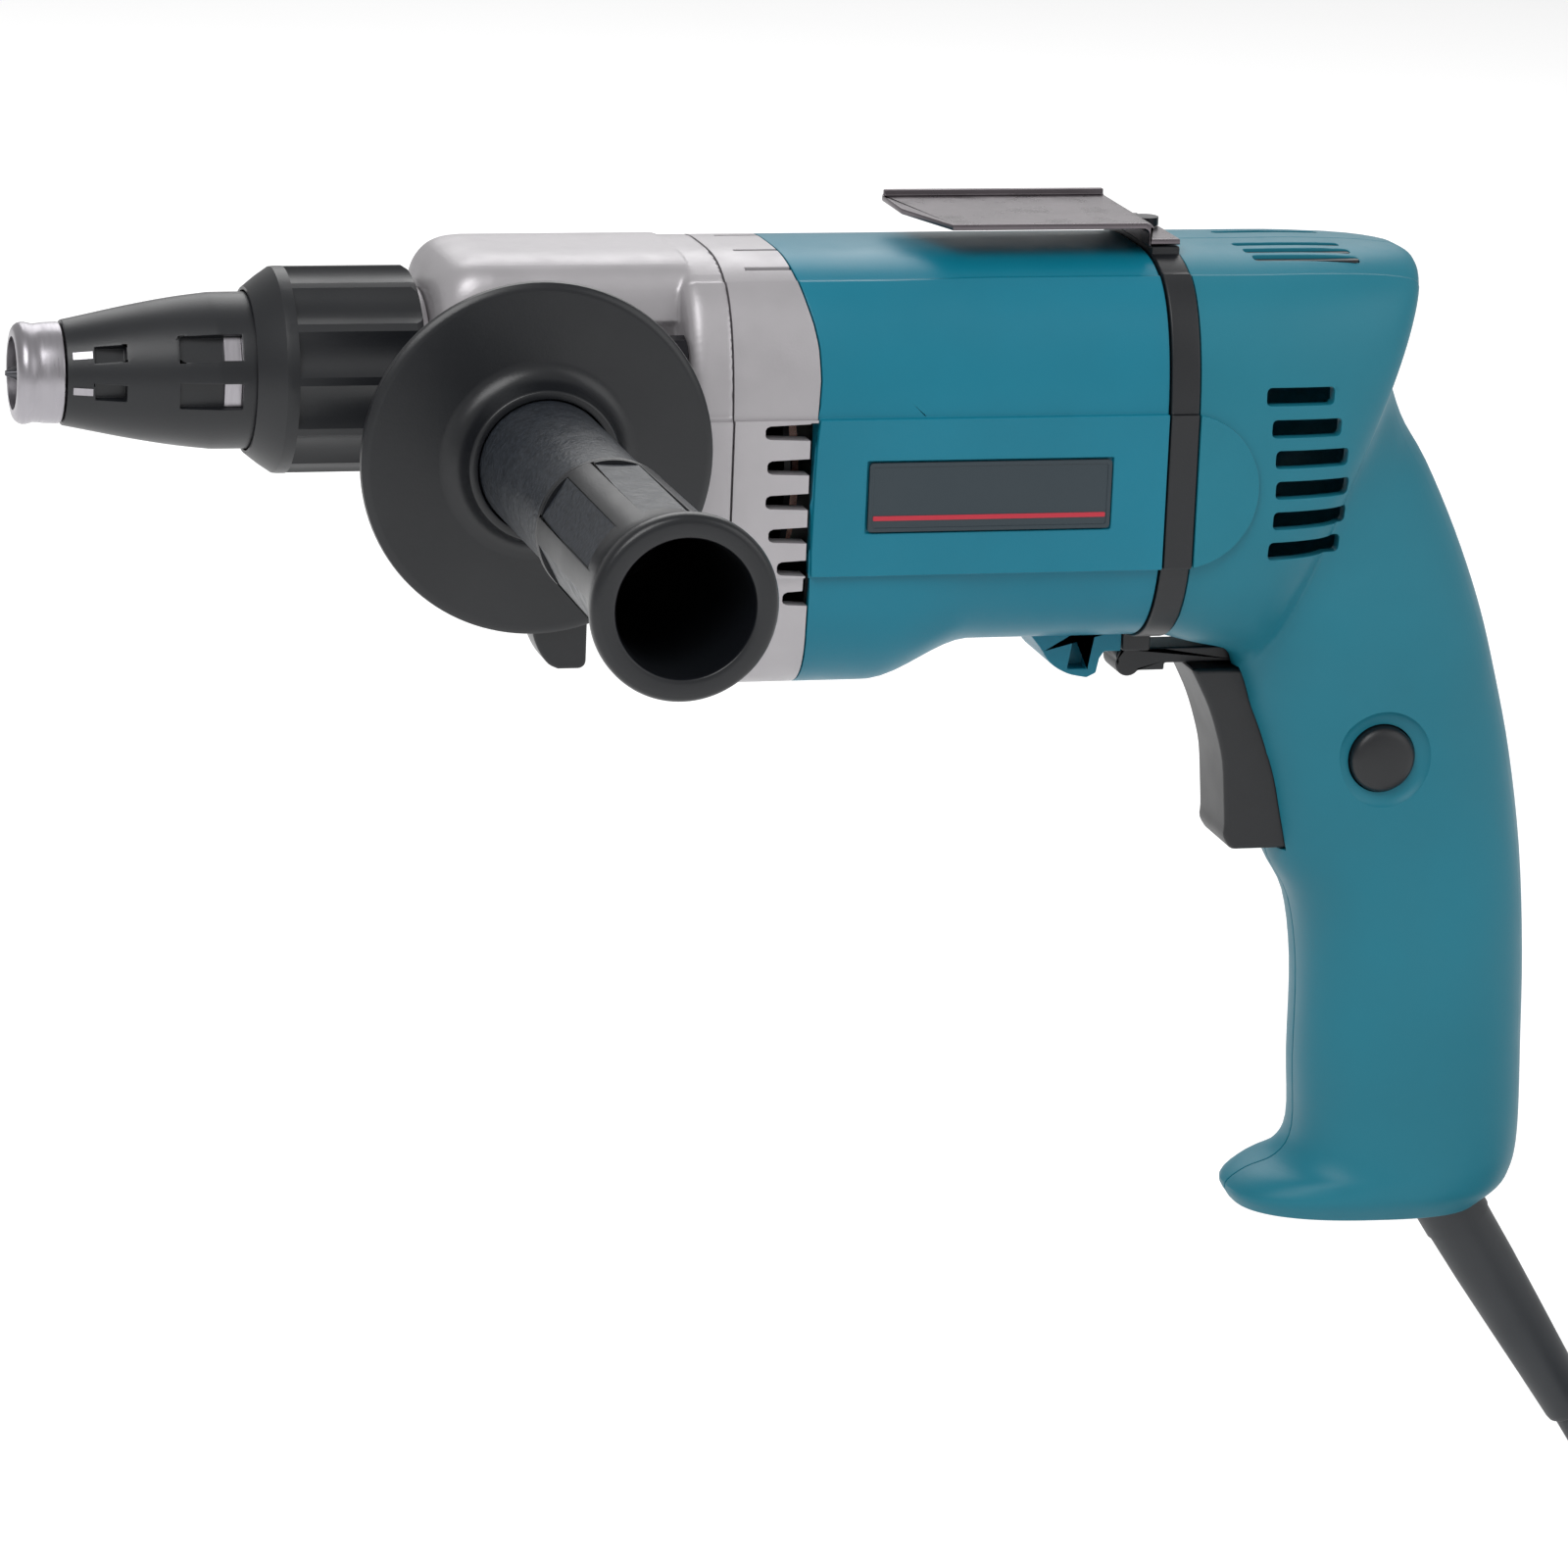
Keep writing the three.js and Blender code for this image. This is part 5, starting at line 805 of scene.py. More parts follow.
# Half the slot's height near its rounded inner end, by the way from that end
COMB_ROUND = [(0, 0.5), (0.25, 1.0), (0.9, COMB_HALF)]
COMB_FLARE = 0.45
PAST_SEAM = 3
ROOF_SLOTS = [-16.9, -7.6, 7.6, 16.9]
ROOF_SLOT_HALF = 0.55
SHADOW_INNER = 27
CAST_FACE = 4
CAST_HOLE_END = PARTING + 6
CAST_SEATS = [("motor_seat", 5.4, MOTOR_Z), ("bush_hole", 6.7, SPINDLE_Z)]


def comb_slot(z, left):
    right = SEAM + PAST_SEAM
    upper = [(left + a, z + half) for a, half in COMB_ROUND] + [(right, z + COMB_HALF + COMB_FLARE)]
    lower = [(right, z - COMB_HALF - COMB_FLARE)] + [(left + a, z - half) for a, half in COMB_ROUND[::-1]]
    return slab_xz("slot", upper + lower, -FLANK_HALF - OVER, FLANK_HALF + OVER)


def add_bearing_housing():
    end = SEAM + PAST_SEAM
    body = barrel("bearing_casting", PARTING, SEAM, 0, seam=0)
    joined(body, flank_slab("flank", PARTING, SEAM, -FLUSH))
    cut(body, barrel("room", PARTING + CAST_FACE, SEAM + CAST_FACE, CAST_WALL, ROOM_SIDES, ROOM_PITCH))
    for z, left in COMB_SLOTS:
        cut(body, comb_slot(z, left))
    for y in ROOF_SLOTS:
        near = y - ROOF_SLOT_HALF
        far = y + ROOF_SLOT_HALF
        cut(body, block("roof_slot", -147, end, near, far, BARREL_TOP - 9.6, BARREL_TOP + OVER))
    for side in (-1, 1):
        near, far = sorted((side * SHADOW_INNER, side * (FLANK_HALF + OVER)))
        cut(body, block("shadow_gap", SEAM - 0.8, end, near, far, 74.2, 110))
    for name, radius, height in CAST_SEATS:
        cut(body, rod(name, "x", radius, PARTING - OVER, CAST_HOLE_END, (0, 0, height), 32))
    for y, z in CASE_SCREWS:
        cut(body, screw_hole(y, z, PARTING - OVER, CAST_HOLE_END))
    placed(shaded(body, 34), "tool", "cast_aluminium", "bearing_housing")


# Motor housing with its plate seat, lug and rear wall

LUG_FRONT = -84.6
LUG_LENGTH = 18.8
LUG_DROP = 9
LUG_HALF = 9
LUG_ROWS = [(0, 0), (0.12, 0.31), (0.24, 0.66), (0.43, 0.9), (0.64, 1)]
LUG_STEP = [(0.74, 0.9), (0.77, 0.58), (0.82, 0.42), (1, 0.42)]
LUG_POCKET = [(-75.5, 61.7), (-76.6, 54.9), (-72.8, 54.9), (-71.6, 61.7)]
LUG_POCKET_DEPTH = 4
PLATE_SEAT = (-125.3, -76.7, -FLANK_HALF - OVER, -FLANK_HALF + 0.8, 88.4, 102.4)
REAR_WALL = -72
REAR_WALL_END = -69
REAR_SEAT = 7.3
AIR_HOLE = 5
AIR_RING = 17


def lug_shape():
    rows = curved(LUG_ROWS, 4) + LUG_STEP
    outline = [(LUG_FRONT + along * LUG_LENGTH, BOTTOM_REAR - down * LUG_DROP) for along, down in rows]
    middle = BOTTOM_REAR + WALL / 2
    ends = [(LUG_FRONT - OVER, middle)], [(LUG_FRONT + LUG_LENGTH, middle)]
    lug = slab_xz("lug", ends[0] + outline + ends[1], -LUG_HALF, LUG_HALF)
    return cut(lug, slab_xz("lug_pocket", LUG_POCKET, -LUG_HALF - OVER, -LUG_HALF + LUG_POCKET_DEPTH))


def add_motor_housing():
    end = BAND_FRONT - GAP
    body = barrel("motor_moulding", SEAM, end, 0, seam=GAP)
    joined(body, flank_slab("flank", SEAM, end, GAP + FLUSH))
    joined(body, lug_shape())
    front_room = barrel("front_room", SEAM - 5, REAR_WALL, WALL, ROOM_SIDES, ROOM_PITCH)
    rear_room = barrel("rear_room", REAR_WALL_END, end + OVER, WALL, ROOM_SIDES, ROOM_PITCH)
    holes = []
    for k in range(4):
        turn = pi / 4 + k * pi / 2
        place = (0, AIR_RING * cos(turn), MOTOR_Z + AIR_RING * sin(turn))
        holes.append(rod("air", "x", AIR_HOLE, REAR_WALL - OVER, REAR_WALL_END + OVER, place, 24))
    holes.append(rod("seat", "x", REAR_SEAT, REAR_WALL - OVER, REAR_WALL_END + OVER, (0, 0, MOTOR_Z), 32))
    cut(body, front_room, rear_room, block("plate_seat", *PLATE_SEAT), together("holes", holes))
    placed(shaded(bounded(edged(body, 0.3, 34), FLANK_HALF)), "tool", "teal_plastic", "motor_housing")


def rounded_outline(a0, a1, b0, b1, radius, steps=6):
    corners = [
        (a1 - radius, b0 + radius, -90), (a1 - radius, b1 - radius, 0),
        (a0 + radius, b1 - radius, 90), (a0 + radius, b0 + radius, 180),
    ]
    points = []
    for a, b, start in corners:
        points += arc(a, b, radius, start, start + 90, steps)
    return points


# Ends along the barrel, bottom, top and corner radius
PLATE_OUTLINE = (-125, -77, 88.7, 102.1, 0.8)
PLATE_FIELD = (-124.2, -77.8, 89.5, 101.3, 0.5)
PLATE_STRIPE = (-124, -78, 90.9, 91.8, 0.2, 3)
PLATE_THICK = 0.8


def add_name_plate():
    back = -FLANK_HALF + 0.5
    front = back - PLATE_THICK
    outline = rounded_outline(*PLATE_OUTLINE)
    plate = slab_xz("plate_blank", outline, front + 0.15, back)
    rim_inner = slab_xz("rim_inner", rounded_outline(*PLATE_FIELD), front - OVER, back + OVER)
    rim = slab_xz("plate_rim", outline, front, back - 0.2)
    cut(rim, rim_inner)
    shaded(edged(plate, 0.1, 40))
    shaded(edged(rim, 0.1, 40))
    stripe = slab_xz("plate_stripe", rounded_outline(*PLATE_STRIPE), front + 0.02, front + 0.3)
    shaded(stripe)
    placed(plate, "tool", "plate", "name_plate")
    placed(rim, "tool", "plate", "name_plate")
    placed(stripe, "tool", "plate", "name_plate", finish="plate_stripe")


# Band and belt hook

BAND_PROUD = 0.5
BAND_WALL = 3.4
BAND_PAD_HALF = 14
# Bottom and top of the pad under the hook and of the foot on the lug
BAND_PAD = (BARREL_TOP - 5.6, BARREL_TOP + 1)
BAND_FOOT = (BOTTOM_REAR - 3.8, BOTTOM_REAR + 1.7)
HOOK_SCREW_PLACE = (-62.65, 0, 0)
HOOK_SCREW_HOLE = 1.9


def band_block(name, half, low, high):
    return block(name, BAND_FRONT, BAND_BACK - GAP, -half, half, low, high)


def hook_screw_hole(start, end):
    return rod("hole", "z", HOOK_SCREW_HOLE, start, end, HOOK_SCREW_PLACE, 24)


def add_band():
    body = barrel("band_moulding", BAND_FRONT, BAND_BACK - GAP, -BAND_PROUD, 112, 2)
    pad = band_block("pad", BAND_PAD_HALF, *BAND_PAD)
    foot = band_block("foot", LUG_HALF, *BAND_FOOT)
    flank = band_block("flank", FLANK_HALF, FLANK_BOTTOM, FLANK_TOP)
    joined(body, pad, foot, flank)
    inner = barrel("inner", BAND_FRONT - OVER, BAND_BACK + OVER, BAND_WALL, ROOM_SIDES, 4)
    cut(body, inner, hook_screw_hole(BARREL_TOP - 6, BARREL_TOP + 4))
    placed(shaded(bounded(edged(body, 0.4, 34, 3), FLANK_HALF)), "tool", "black_plastic", "hook_band")


HOOK_UNDER = BARREL_TOP + 4.8
HOOK_THICK = 1.2
HOOK_HALF = 16
HOOK_FRONT = BAND_FRONT - 46
HOOK_FOOT_HALF = 14


def add_belt_hook():
    low = HOOK_UNDER
    top = low + HOOK_THICK
    foot = BARREL_TOP + 1.3
    back = BAND_BACK - GAP
    bend = BAND_FRONT - HOOK_THICK
    outline = [
        (HOOK_FRONT, low), (bend - 1.0, low), (bend - 0.3, low - 0.3), (bend, low - 1.0), (bend, foot),
        (back, foot), (back, foot + HOOK_THICK), (BAND_FRONT, foot + HOOK_THICK), (BAND_FRONT, low - 0.6),
        (BAND_FRONT - 0.3, top - 0.9), (bend + 0.3, top - 0.25), (bend - 0.7, top), (HOOK_FRONT, top),
    ]
    plate = slab_xz("hook_plate", outline, -HOOK_HALF, HOOK_HALF)
    front = HOOK_FRONT - OVER
    side = -HOOK_HALF - OVER
    corners = [(front, side), (HOOK_FRONT + 4 + OVER, side), (front, HOOK_HALF / 2)]
    slant = slab_xy("slant", corners, BARREL_TOP, top + OVER)
    trims = []
    for side in (-1, 1):
        near, far = sorted((side * HOOK_FOOT_HALF, side * (HOOK_HALF + OVER)))
        trims.append(block("trim", BAND_FRONT - 0.75, back + OVER, near, far, foot - OVER, low))
    cut(plate, slant, together("trims", trims), hook_screw_hole(foot - OVER, foot + 4))
    near = HOOK_HALF - HOOK_THICK
    joined(plate, block("hook_lip", HOOK_FRONT + 0.2, bend, near, HOOK_HALF, low + 0.1, top + 1.2))
    placed(shaded(edged(plate, 0.3, 40)), "tool", "hook_steel", "belt_hook")


# Handle halves. Each row has the place and depth of the front and of the rear, and the share of half width.

REACH = 88
DROP = 203.1
HANDLE_POWER = 2.5
HANDLE_ROWS = [
    (0, 0.378, 0, 0, 1), (0.085, 0.388, 0.15, 0, 0.995), (0.155, 0.395, 0.335, 0, 0.955),
    (0.19, 0.404, 0.505, 0.004, 0.87), (0.2, 0.417, 0.57, 0.014, 0.79), (0.21, 0.429, 0.545, 0.048, 0.735),
    (0.222, 0.444, 0.525, 0.108, 0.705), (0.233, 0.461, 0.566, 0.164, 0.68),
    (0.25, 0.481, 0.637, 0.213, 0.65), (0.267, 0.503, 0.718, 0.283, 0.62),
    (0.29, 0.535, 0.788, 0.357, 0.596), (0.312, 0.579, 0.839, 0.429, 0.587),
    (0.336, 0.619, 0.887, 0.51, 0.58), (0.392, 0.663, 0.927, 0.607, 0.577),
    (0.421, 0.734, 0.953, 0.715, 0.565), (0.427, 0.83, 0.965, 0.813, 0.555),
    (0.435, 0.902, 0.972, 0.882, 0.555), (0.4, 0.931, 0.971, 0.921, 0.56),
    (0.327, 0.944, 0.961, 0.944, 0.57), (0.281, 0.96, 0.939, 0.962, 0.565), (0.3, 0.977, 0.88, 0.983, 0.5),
]
HEEL_SHARES = (0.93, 0.8, 0.6)
HEEL_DROP = 0.9
CAVITY_LAST = 18
HANDLE_BROAD = 0.95
HANDLE_SLIM = 0.66
SCREW_PLACES = [(-49, 126), (-15, 121), (12, 6), (-15, -48)]
SCREW_SEATS = [21, 13, 10.5, 10.5]
SCREW_RADIUS = 2
SCREW_HEAD = 3.5
SCREW_TIP = 20.3
POST_RADIUS = 4.2
CLAMP_RIB = (-6, 2, -20, 20, -52.3, -46.3)
SWITCH_ROOM = (-28.9, 5, -10.3, 10.3, 24.7, 54.3)
LOCK_X = -13
LOCK_Z = 37
LOCK_DISH = [(-22, 10), (-18.1, 9.9), (-17.5, 9.4), (-17, 8.5), (-16.7, 7), (-9, 7)]


def handle_ring(row, inset, count):
    front = Vector((BAND_BACK + row[0] * REACH, 0, BARREL_TOP - row[1] * DROP))
    rear = Vector((BAND_BACK + row[2] * REACH, 0, BARREL_TOP - row[3] * DROP))
    centre = (front + rear) / 2
    half = rear - centre
    half.length = half.length - inset
    across = Vector((0, row[4] * BARREL_HALF - inset, 0))
    broad = smoothstep(row[4], HANDLE_SLIM, HANDLE_BROAD)
    power = HANDLE_POWER + (BARREL_POWER - HANDLE_POWER) * broad
    return creased_ring(centre, across, half, power, count, CREASE_RISE * broad)


def handle_outer(name, inset=0, count=112, steps=4):
    rows = curved(HANDLE_ROWS, steps)
    rings = [handle_ring(row, inset, count) for row in rows]
    last = rings[-1]
    middle = sum(last, Vector()) / len(last)
    for share in HEEL_SHARES:
        drop = Vector((0, 0, -HEEL_DROP * (1 - share)))
        rings.append([middle + (p - middle) * share + drop for p in last])
    return loft(name, rings)


def handle_cavity():
    rings = [handle_ring(row, WALL, 64) for row in curved(HANDLE_ROWS, 2)[:2 * CAVITY_LAST + 1]]
    mouth = [p - Vector((OVER, 0, 0)) for p in rings[0]]
    return loft("cavity", [mouth] + rings)


# Middle, height and half length of each side vent
SIDE_VENTS = [
    (-38.9, 113.2, 7.1), (-37.2, 106.9, 7.4), (-35.6, 100.8, 7.9), (-34.9, 94.7, 8.2), (-34.6, 88.6, 8.6),
    (-35.2, 82.5, 8.5),
]
VENT_HALF = 1.75
VENT_CORNER = 0.9
VENT_LEAN = radians(1)
# Middle and place across of each pair of roof vents
ROOF_VENTS = [(-35.9, 6.5), (-35.1, 11), (-34.3, 14.7)]
ROOF_VENT_CORNER = 0.8
# Depth under the skin of the black bars that paint shade into the roof vents
VENT_SHADE_DEPTH = 0.55
ROOF_VENT_HALF = 10.8
ROOF_VENT_WIDTH = 2.3


def vent_cutters():
    vents = []
    for x, z, half in SIDE_VENTS:
        outline = rounded_outline(x - half, x + half, z - VENT_HALF, z + VENT_HALF, VENT_CORNER, 3)
        vent = slab_xz("vent", outline, -BARREL_HALF - OVER, BARREL_HALF + OVER)
        vents.append(turned_about(vent, "Y", VENT_LEAN, (x, 0, z)))
    return together("vents", vents)


def roof_vent(name, x, y, half, width, top):
    outline = rounded_outline(x - half, x + half, y - width / 2, y + width / 2, ROOF_VENT_CORNER, 3)
    return slab_xy(name, outline, BARREL_TOP - 10, top)


def add_roof_vent_shade():
    """Black bars a little below the skin, one in each roof vent: painted shade, standing in for the shadow
    inside the vents.
    """
    bars = []
    for x, y in ROOF_VENTS:
        top = handle_top(y) - VENT_SHADE_DEPTH
        for side in (-1, 1):
            bars.append(roof_vent("bar", x, side * y, ROOF_VENT_HALF - 0.1, ROOF_VENT_WIDTH - 0.2, top))
    body = together("roof_vent_painted_shade", bars)
    placed(shaded(body), "tool", "black_plastic")


def handle_top(y):
    """Height of the handle's front section at a place across."""
    power = BARREL_POWER
    half = DROP * HANDLE_ROWS[0][1] / 2
    return BARREL_TOP - half + half * (1 - (y / BARREL_HALF) ** power) ** (1 / power)


TRIGGER_TOP = 54.0
TRIGGER_HEIGHT = 37.4
TRIGGER_REACH = 16
TRIGGER_PLACE = -50.8
TRIGGER_FRONT = [
    (0, 0), (0.14, 0.11), (0.275, 0.23), (0.39, 0.37), (0.48, 0.52), (0.525, 0.72), (0.55, 0.86),
    (0.55, 0.93), (0.65, 1),
]
TRIGGER_BACK = [(1.45, 1), (1.4, 0.8), (1.24, 0.48), (1.05, 0.21), (0.89, 0)]
TRIGGER_HALF = 8.5
TRIGGER_STEM = (-41.5, -23.6, -5, 5, 35, 47)
TRIGGER_TRAVEL = 6.3


def trigger_point(share):
    return (TRIGGER_PLACE + share[0] * TRIGGER_REACH, TRIGGER_TOP - share[1] * TRIGGER_HEIGHT)


def trigger_way():
    front = [trigger_point(p) for p in curved(TRIGGER_FRONT, 3)]
    rear = [(x + TRIGGER_TRAVEL, z) for x, z in (trigger_point(p) for p in TRIGGER_BACK)]
    bottom = TRIGGER_TOP - TRIGGER_HEIGHT - GAP
    top = TRIGGER_TOP + GAP
    under = [(front[-1][0], bottom), (rear[0][0], bottom)]
    over = [(rear[-1][0], top), (front[0][0], top)]
    half = TRIGGER_HALF + GAP
    return slab_xz("trigger_way", front + under + rear[1:-1] + over, -half, half)


LEVER_TOP = 57.6
LEVER_BOTTOM = 54.4
LEVER_PIVOT = -38.5
LEVER_FRONT = -65.2
LEVER_HALF = 4.5
LEVER_HUB = 5
LEVER_SWING = radians(12)


def lever_way():
    reach = LEVER_PIVOT - LEVER_FRONT + OVER
    spread = reach * tan(LEVER_SWING)
    far = LEVER_PIVOT - reach
    half = LEVER_HALF + GAP
    outline = [(LEVER_PIVOT, -half), (LEVER_PIVOT, half), (far, half + spread), (far, -half - spread)]
    bottom = LEVER_BOTTOM - GAP
    top = LEVER_TOP + GAP
    hub = rod("lever_hub", "z", LEVER_HUB + GAP, bottom, top, (LEVER_PIVOT, 0, 0), 32)
    return slab_xy("lever_way", outline, bottom, top), hub


def along_cord(obj):
    """The object, made about its z axis, laid along the cord's way out of the handle."""
    obj.data.transform(Matrix.Translation(GUARD_ROOT) @ Matrix.Rotation(pi / 2 + GUARD_FALL, 4, "Y"))
    return obj


GUARD_WAY = [(-19, 7.4), (-14.3, 7.4), (-14.3, 8.9), (-10.7, 8.9), (-10.7, 7.4), (8, 7.4)]


def guard_way():
    return along_cord(lathe("guard_way", "z", GUARD_WAY, (0, 0, 0), 48))


def screw_way(x, z, seat):
    shank = [(seat - SCREW_TIP, SCREW_RADIUS), (seat, SCREW_RADIUS)]
    head = [(seat, SCREW_HEAD), (BARREL_HALF + OVER, SCREW_HEAD)]
    return lathe("screw_way", "y", shank + head, (x, 0, z), 32)


def post(x, z):
    return rod("post", "y", POST_RADIUS, -BARREL_HALF, BARREL_HALF, (x, 0, z), 24)


def roof_vent_cutters():
    top = BARREL_TOP + OVER
    cutters = []
    for x, y in ROOF_VENTS:
        for side in (-1, 1):
            cutters.append(roof_vent("slot", x, side * y, ROOF_VENT_HALF, ROOF_VENT_WIDTH, top))
    return together("roof_vents", cutters)


def add_handle():
    whole = handle_outer("handle")
    joined(whole, flank_slab("flank", BAND_BACK, FLANK_END + OVER))
    cut(whole, handle_cavity())
    posts = together("posts", [post(x, z) for x, z in SCREW_PLACES])
    rib = block("rib", *CLAMP_RIB)
    seats = kept(together("seats", [posts, rib]), handle_outer("inside", WALL / 2, 64, 2))
    joined(whole, seats)
    holes = [screw_way(x, z, seat) for (x, z), seat in zip(SCREW_PLACES, SCREW_SEATS)]
    lock = lathe("lock_way", "y", LOCK_DISH, (LOCK_X, 0, LOCK_Z), 64)
    ways = [trigger_way(), *lever_way(), guard_way(), block("switch_room", *SWITCH_ROOM)]
    cut(whole, together("holes", holes), vent_cutters(), roof_vent_cutters(), *ways)
    verts = [v.co for v in whole.data.vertices]
    faces = [list(f.vertices) for f in whole.data.polygons]
    for side, word in ((-1, "left"), (1, "right")):
        half = raw(f"handle_moulding_{word}", verts, faces)
        near, far = sorted((side * GAP / 2, side * 70))
        kept(half, block("keep", -62, 40, near, far, -80, 145))
        edged(half, 0.22, 40)
        if side < 0:
            cut(half, lock)
        shaded(half)
        placed(half, "tool", "handle_plastic", f"handle_{word}_half")
    bpy.data.objects.remove(whole)


# Controls


def add_trigger():
    outline = [trigger_point(p) for p in curved(TRIGGER_FRONT, 3) + TRIGGER_BACK]
    body = slab_xz("trigger_paddle", outline, -TRIGGER_HALF, TRIGGER_HALF)
    joined(body, block("stem", *TRIGGER_STEM))
    placed(shaded(edged(body, 1.0, 34, 3)), "trigger_body", "black_plastic", "trigger")


def add_lever():
    half = LEVER_HALF
    body = block("lever_arm", LEVER_FRONT + 1, LEVER_PIVOT, -half, half, LEVER_BOTTOM, LEVER_TOP)
    hub = rod("hub", "z", LEVER_HUB, LEVER_BOTTOM, LEVER_TOP, (LEVER_PIVOT, 0, 0))
    paddle = rod("paddle", "y", 2.5, -half, half, (LEVER_FRONT + 2.5, 0, LEVER_BOTTOM))
    front = rod("front", "y", 1.6, -half, half, (LEVER_FRONT + 1.6, 0, LEVER_TOP - 1.6), 32)
    start = LEVER_FRONT + 2.5
    lip = block("lip", start, LEVER_FRONT + 10, -half, half, LEVER_BOTTOM - 1.4, LEVER_TOP - GAP)
    joined(body, hub, paddle, front, lip)
    placed(shaded(edged(body, 0.4, 34, 3)), "lever", "black_plastic", "reversing_lever")


LOCK_PROFILE = [
    (-19.2, 0.01), (-19.15, 2.5), (-18.95, 4.6), (-18.6, 5.7), (-18.1, 6.3), (-17.4, 6.7), (-14.1, 6.7),
    (-14.1, 0.01),
]
GUARD_PROFILE = [
    (-17, 0.01), (-17, 7.1), (-14, 7.1), (-14, 8.6), (-11, 8.6), (-11, 7.1), (0.6, 7.1), (1.2, 6.8),
    (13, 6.55), (26, 6.05), (39, 5.5), (50.5, 5.1), (51.6, 4.9), (52, 4.5), (52, 0.01),
]


def add_lock_button():
    body = lathe("lock_cap", "y", LOCK_PROFILE, (LOCK_X, 0, LOCK_Z), 72)
    placed(shaded(body, 40), "button", "black_plastic", "lock_button")


def add_cord_guard():
    body = along_cord(lathe("cord_sleeve", "z", GUARD_PROFILE, (0, 0, 0), 72))
    placed(shaded(body, 40), "tool", "cord_rubber", "cord_guard")


# Nose pieces

SPINDLE = (0, 0, SPINDLE_Z)
NECK_PROFILE = [(-224, 11), (-224, 15.5), (-207.2, 15.5), (-206.3, 15.5), (-206.3, 11)]
SLEEVE_PROFILE = [
    (-239.5, 15.2), (-239.5, 15.8), (-237, 17.8), (-234.5, 19.5), (-233.6, 19.6), (-209.5, 19.6),
    (-208.4, 18.9), (-208, 18.1), (-208, 15.8), (-238, 15.8), (-238, 15.2),
]
SLEEVE_RADIUS = 19.6
SLEEVE_TURN = radians(10.3)
FLUTES = 12
FLUTE_DEPTH = 1.6
FLUTE_RADIUS = 9


def add_neck():
    body = lathe("neck_tube", "x", NECK_PROFILE, SPINDLE, 96, True)
    placed(shaded(edged(body, 0.4, 40)), "tool", "cast_aluminium", "neck")


def add_sleeve():
    body = lathe("sleeve_shell", "x", SLEEVE_PROFILE, SPINDLE, 144, True)
    reach = SLEEVE_RADIUS - FLUTE_DEPTH + FLUTE_RADIUS
    flutes = []
    for i in range(FLUTES):
        turn = SLEEVE_TURN + 2 * pi * i / FLUTES
        place = (0, reach * cos(turn), SPINDLE_Z + reach * sin(turn))
        flutes.append(rod("flute", "x", FLUTE_RADIUS, -232.2, -206, place, 72))
    cut(body, together("flutes", flutes))
    placed(shaded(body, 24), "sleeve", "nose_plastic", "adjusting_sleeve")


CONE_FRONT = -274.3
CONE_LENGTH = 47.3
CONE_ROWS = [(0, 0), (0.1, 0.2), (0.25, 0.5), (0.42, 0.79), (0.56, 0.96), (0.64, 1), (1, 1)]
CONE_NARROW = 9.9
CONE_WIDE = 14.8
CONE_INSIDE = [(-227, 12.3), (-245.8, 12.3), (CONE_FRONT, 7.6)]
WINDOW_TURN = radians(80)
WINDOW_SPREAD = radians(18.5)
WINDOW_TOP = 16.8
# Way back from the cone's front, length, width and the radius of the floor
WINDOWS = [(20.6, 11.7, 5.0, 12.5), (5.1, 5.7, 3.1, 9.7)]
PIN_BACK = 1.0
PIN_HALF = 0.7
# Way back from the pin's front and radius
PIN_OUTLINE = [(0, 8.4), (3.6, 9), (3.6, 11.05), (0, 10.3)]
# Way back from the large window's front, length, half width, and the radii of floor and top
TAB = (8.4, 3.2, 2.4, 12.3, 13.2)
RING_BACK = -274.6
RING_LENGTH = 8.8
RING_FRONT_ROWS = [
    (0, 6.9), (0, 7.9), (0.15, 8.5), (0.5, 9.0), (1.0, 9.4), (1.6, 9.58), (2.2, 9.6), (2.9, 9.45),
    (3.7, 9.25), (4.6, 9.3), (5.6, 9.45),
]
RING_BACK_ROWS = [(-0.4, 9.55), (0, 9.3), (0, 6.9)]


def cone_outline():
    widen = CONE_WIDE - CONE_NARROW
    return [(CONE_FRONT + a * CONE_LENGTH, CONE_NARROW + o * widen) for a, o in curved(CONE_ROWS, 4)]


def window_turns():
    return [WINDOW_TURN + half + side * WINDOW_SPREAD for half in (0, pi) for side in (-1, 1)]


def add_cone():
    body = lathe("cone_shell", "x", cone_outline() + CONE_INSIDE, SPINDLE, 120, True)
    cutters = []
    for turn in window_turns():
        for start, length, width, floor in WINDOWS:
            x = CONE_FRONT + start
            half = width / 2
            low = SPINDLE_Z + floor
            cutter = block("window", x, x + length, -half, half, low, SPINDLE_Z + WINDOW_TOP)
            cutters.append(turned_about(cutter, "X", turn, SPINDLE))
    cut(body, together("windows", cutters))
    placed(shaded(edged(body, 0.2, 34)), "locator", "nose_plastic", "nose_cone")


def add_cone_metal():
    """The pale pins at the cone's front and the spring tabs that show in its windows."""
    pieces = []
    back, length, half, low, top = TAB
    for turn in window_turns():
        x = CONE_FRONT + PIN_BACK
        outline = [(x + a, SPINDLE_Z + radius) for a, radius in PIN_OUTLINE]
        pin = slab_xz("pin", outline, -PIN_HALF, PIN_HALF)
        x = CONE_FRONT + WINDOWS[0][0] + back
        tab = block("tab", x, x + length, -half, half, SPINDLE_Z + low, SPINDLE_Z + top)
        pieces += [turned_about(pin, "X", turn, SPINDLE), turned_about(tab, "X", turn, SPINDLE)]
    body = together("cone_metal", pieces)
    placed(shaded(body), "locator", "ring_steel")


def add_ring():
    front = RING_BACK - RING_LENGTH
    profile = [(front + a, radius) for a, radius in RING_FRONT_ROWS]
    profile += [(RING_BACK + a, radius) for a, radius in RING_BACK_ROWS]
    body = lathe("ring_lip", "x", profile, SPINDLE, 120, True)
    placed(shaded(body, 40), "locator", "ring_steel", "locator_ring")


# Side handle

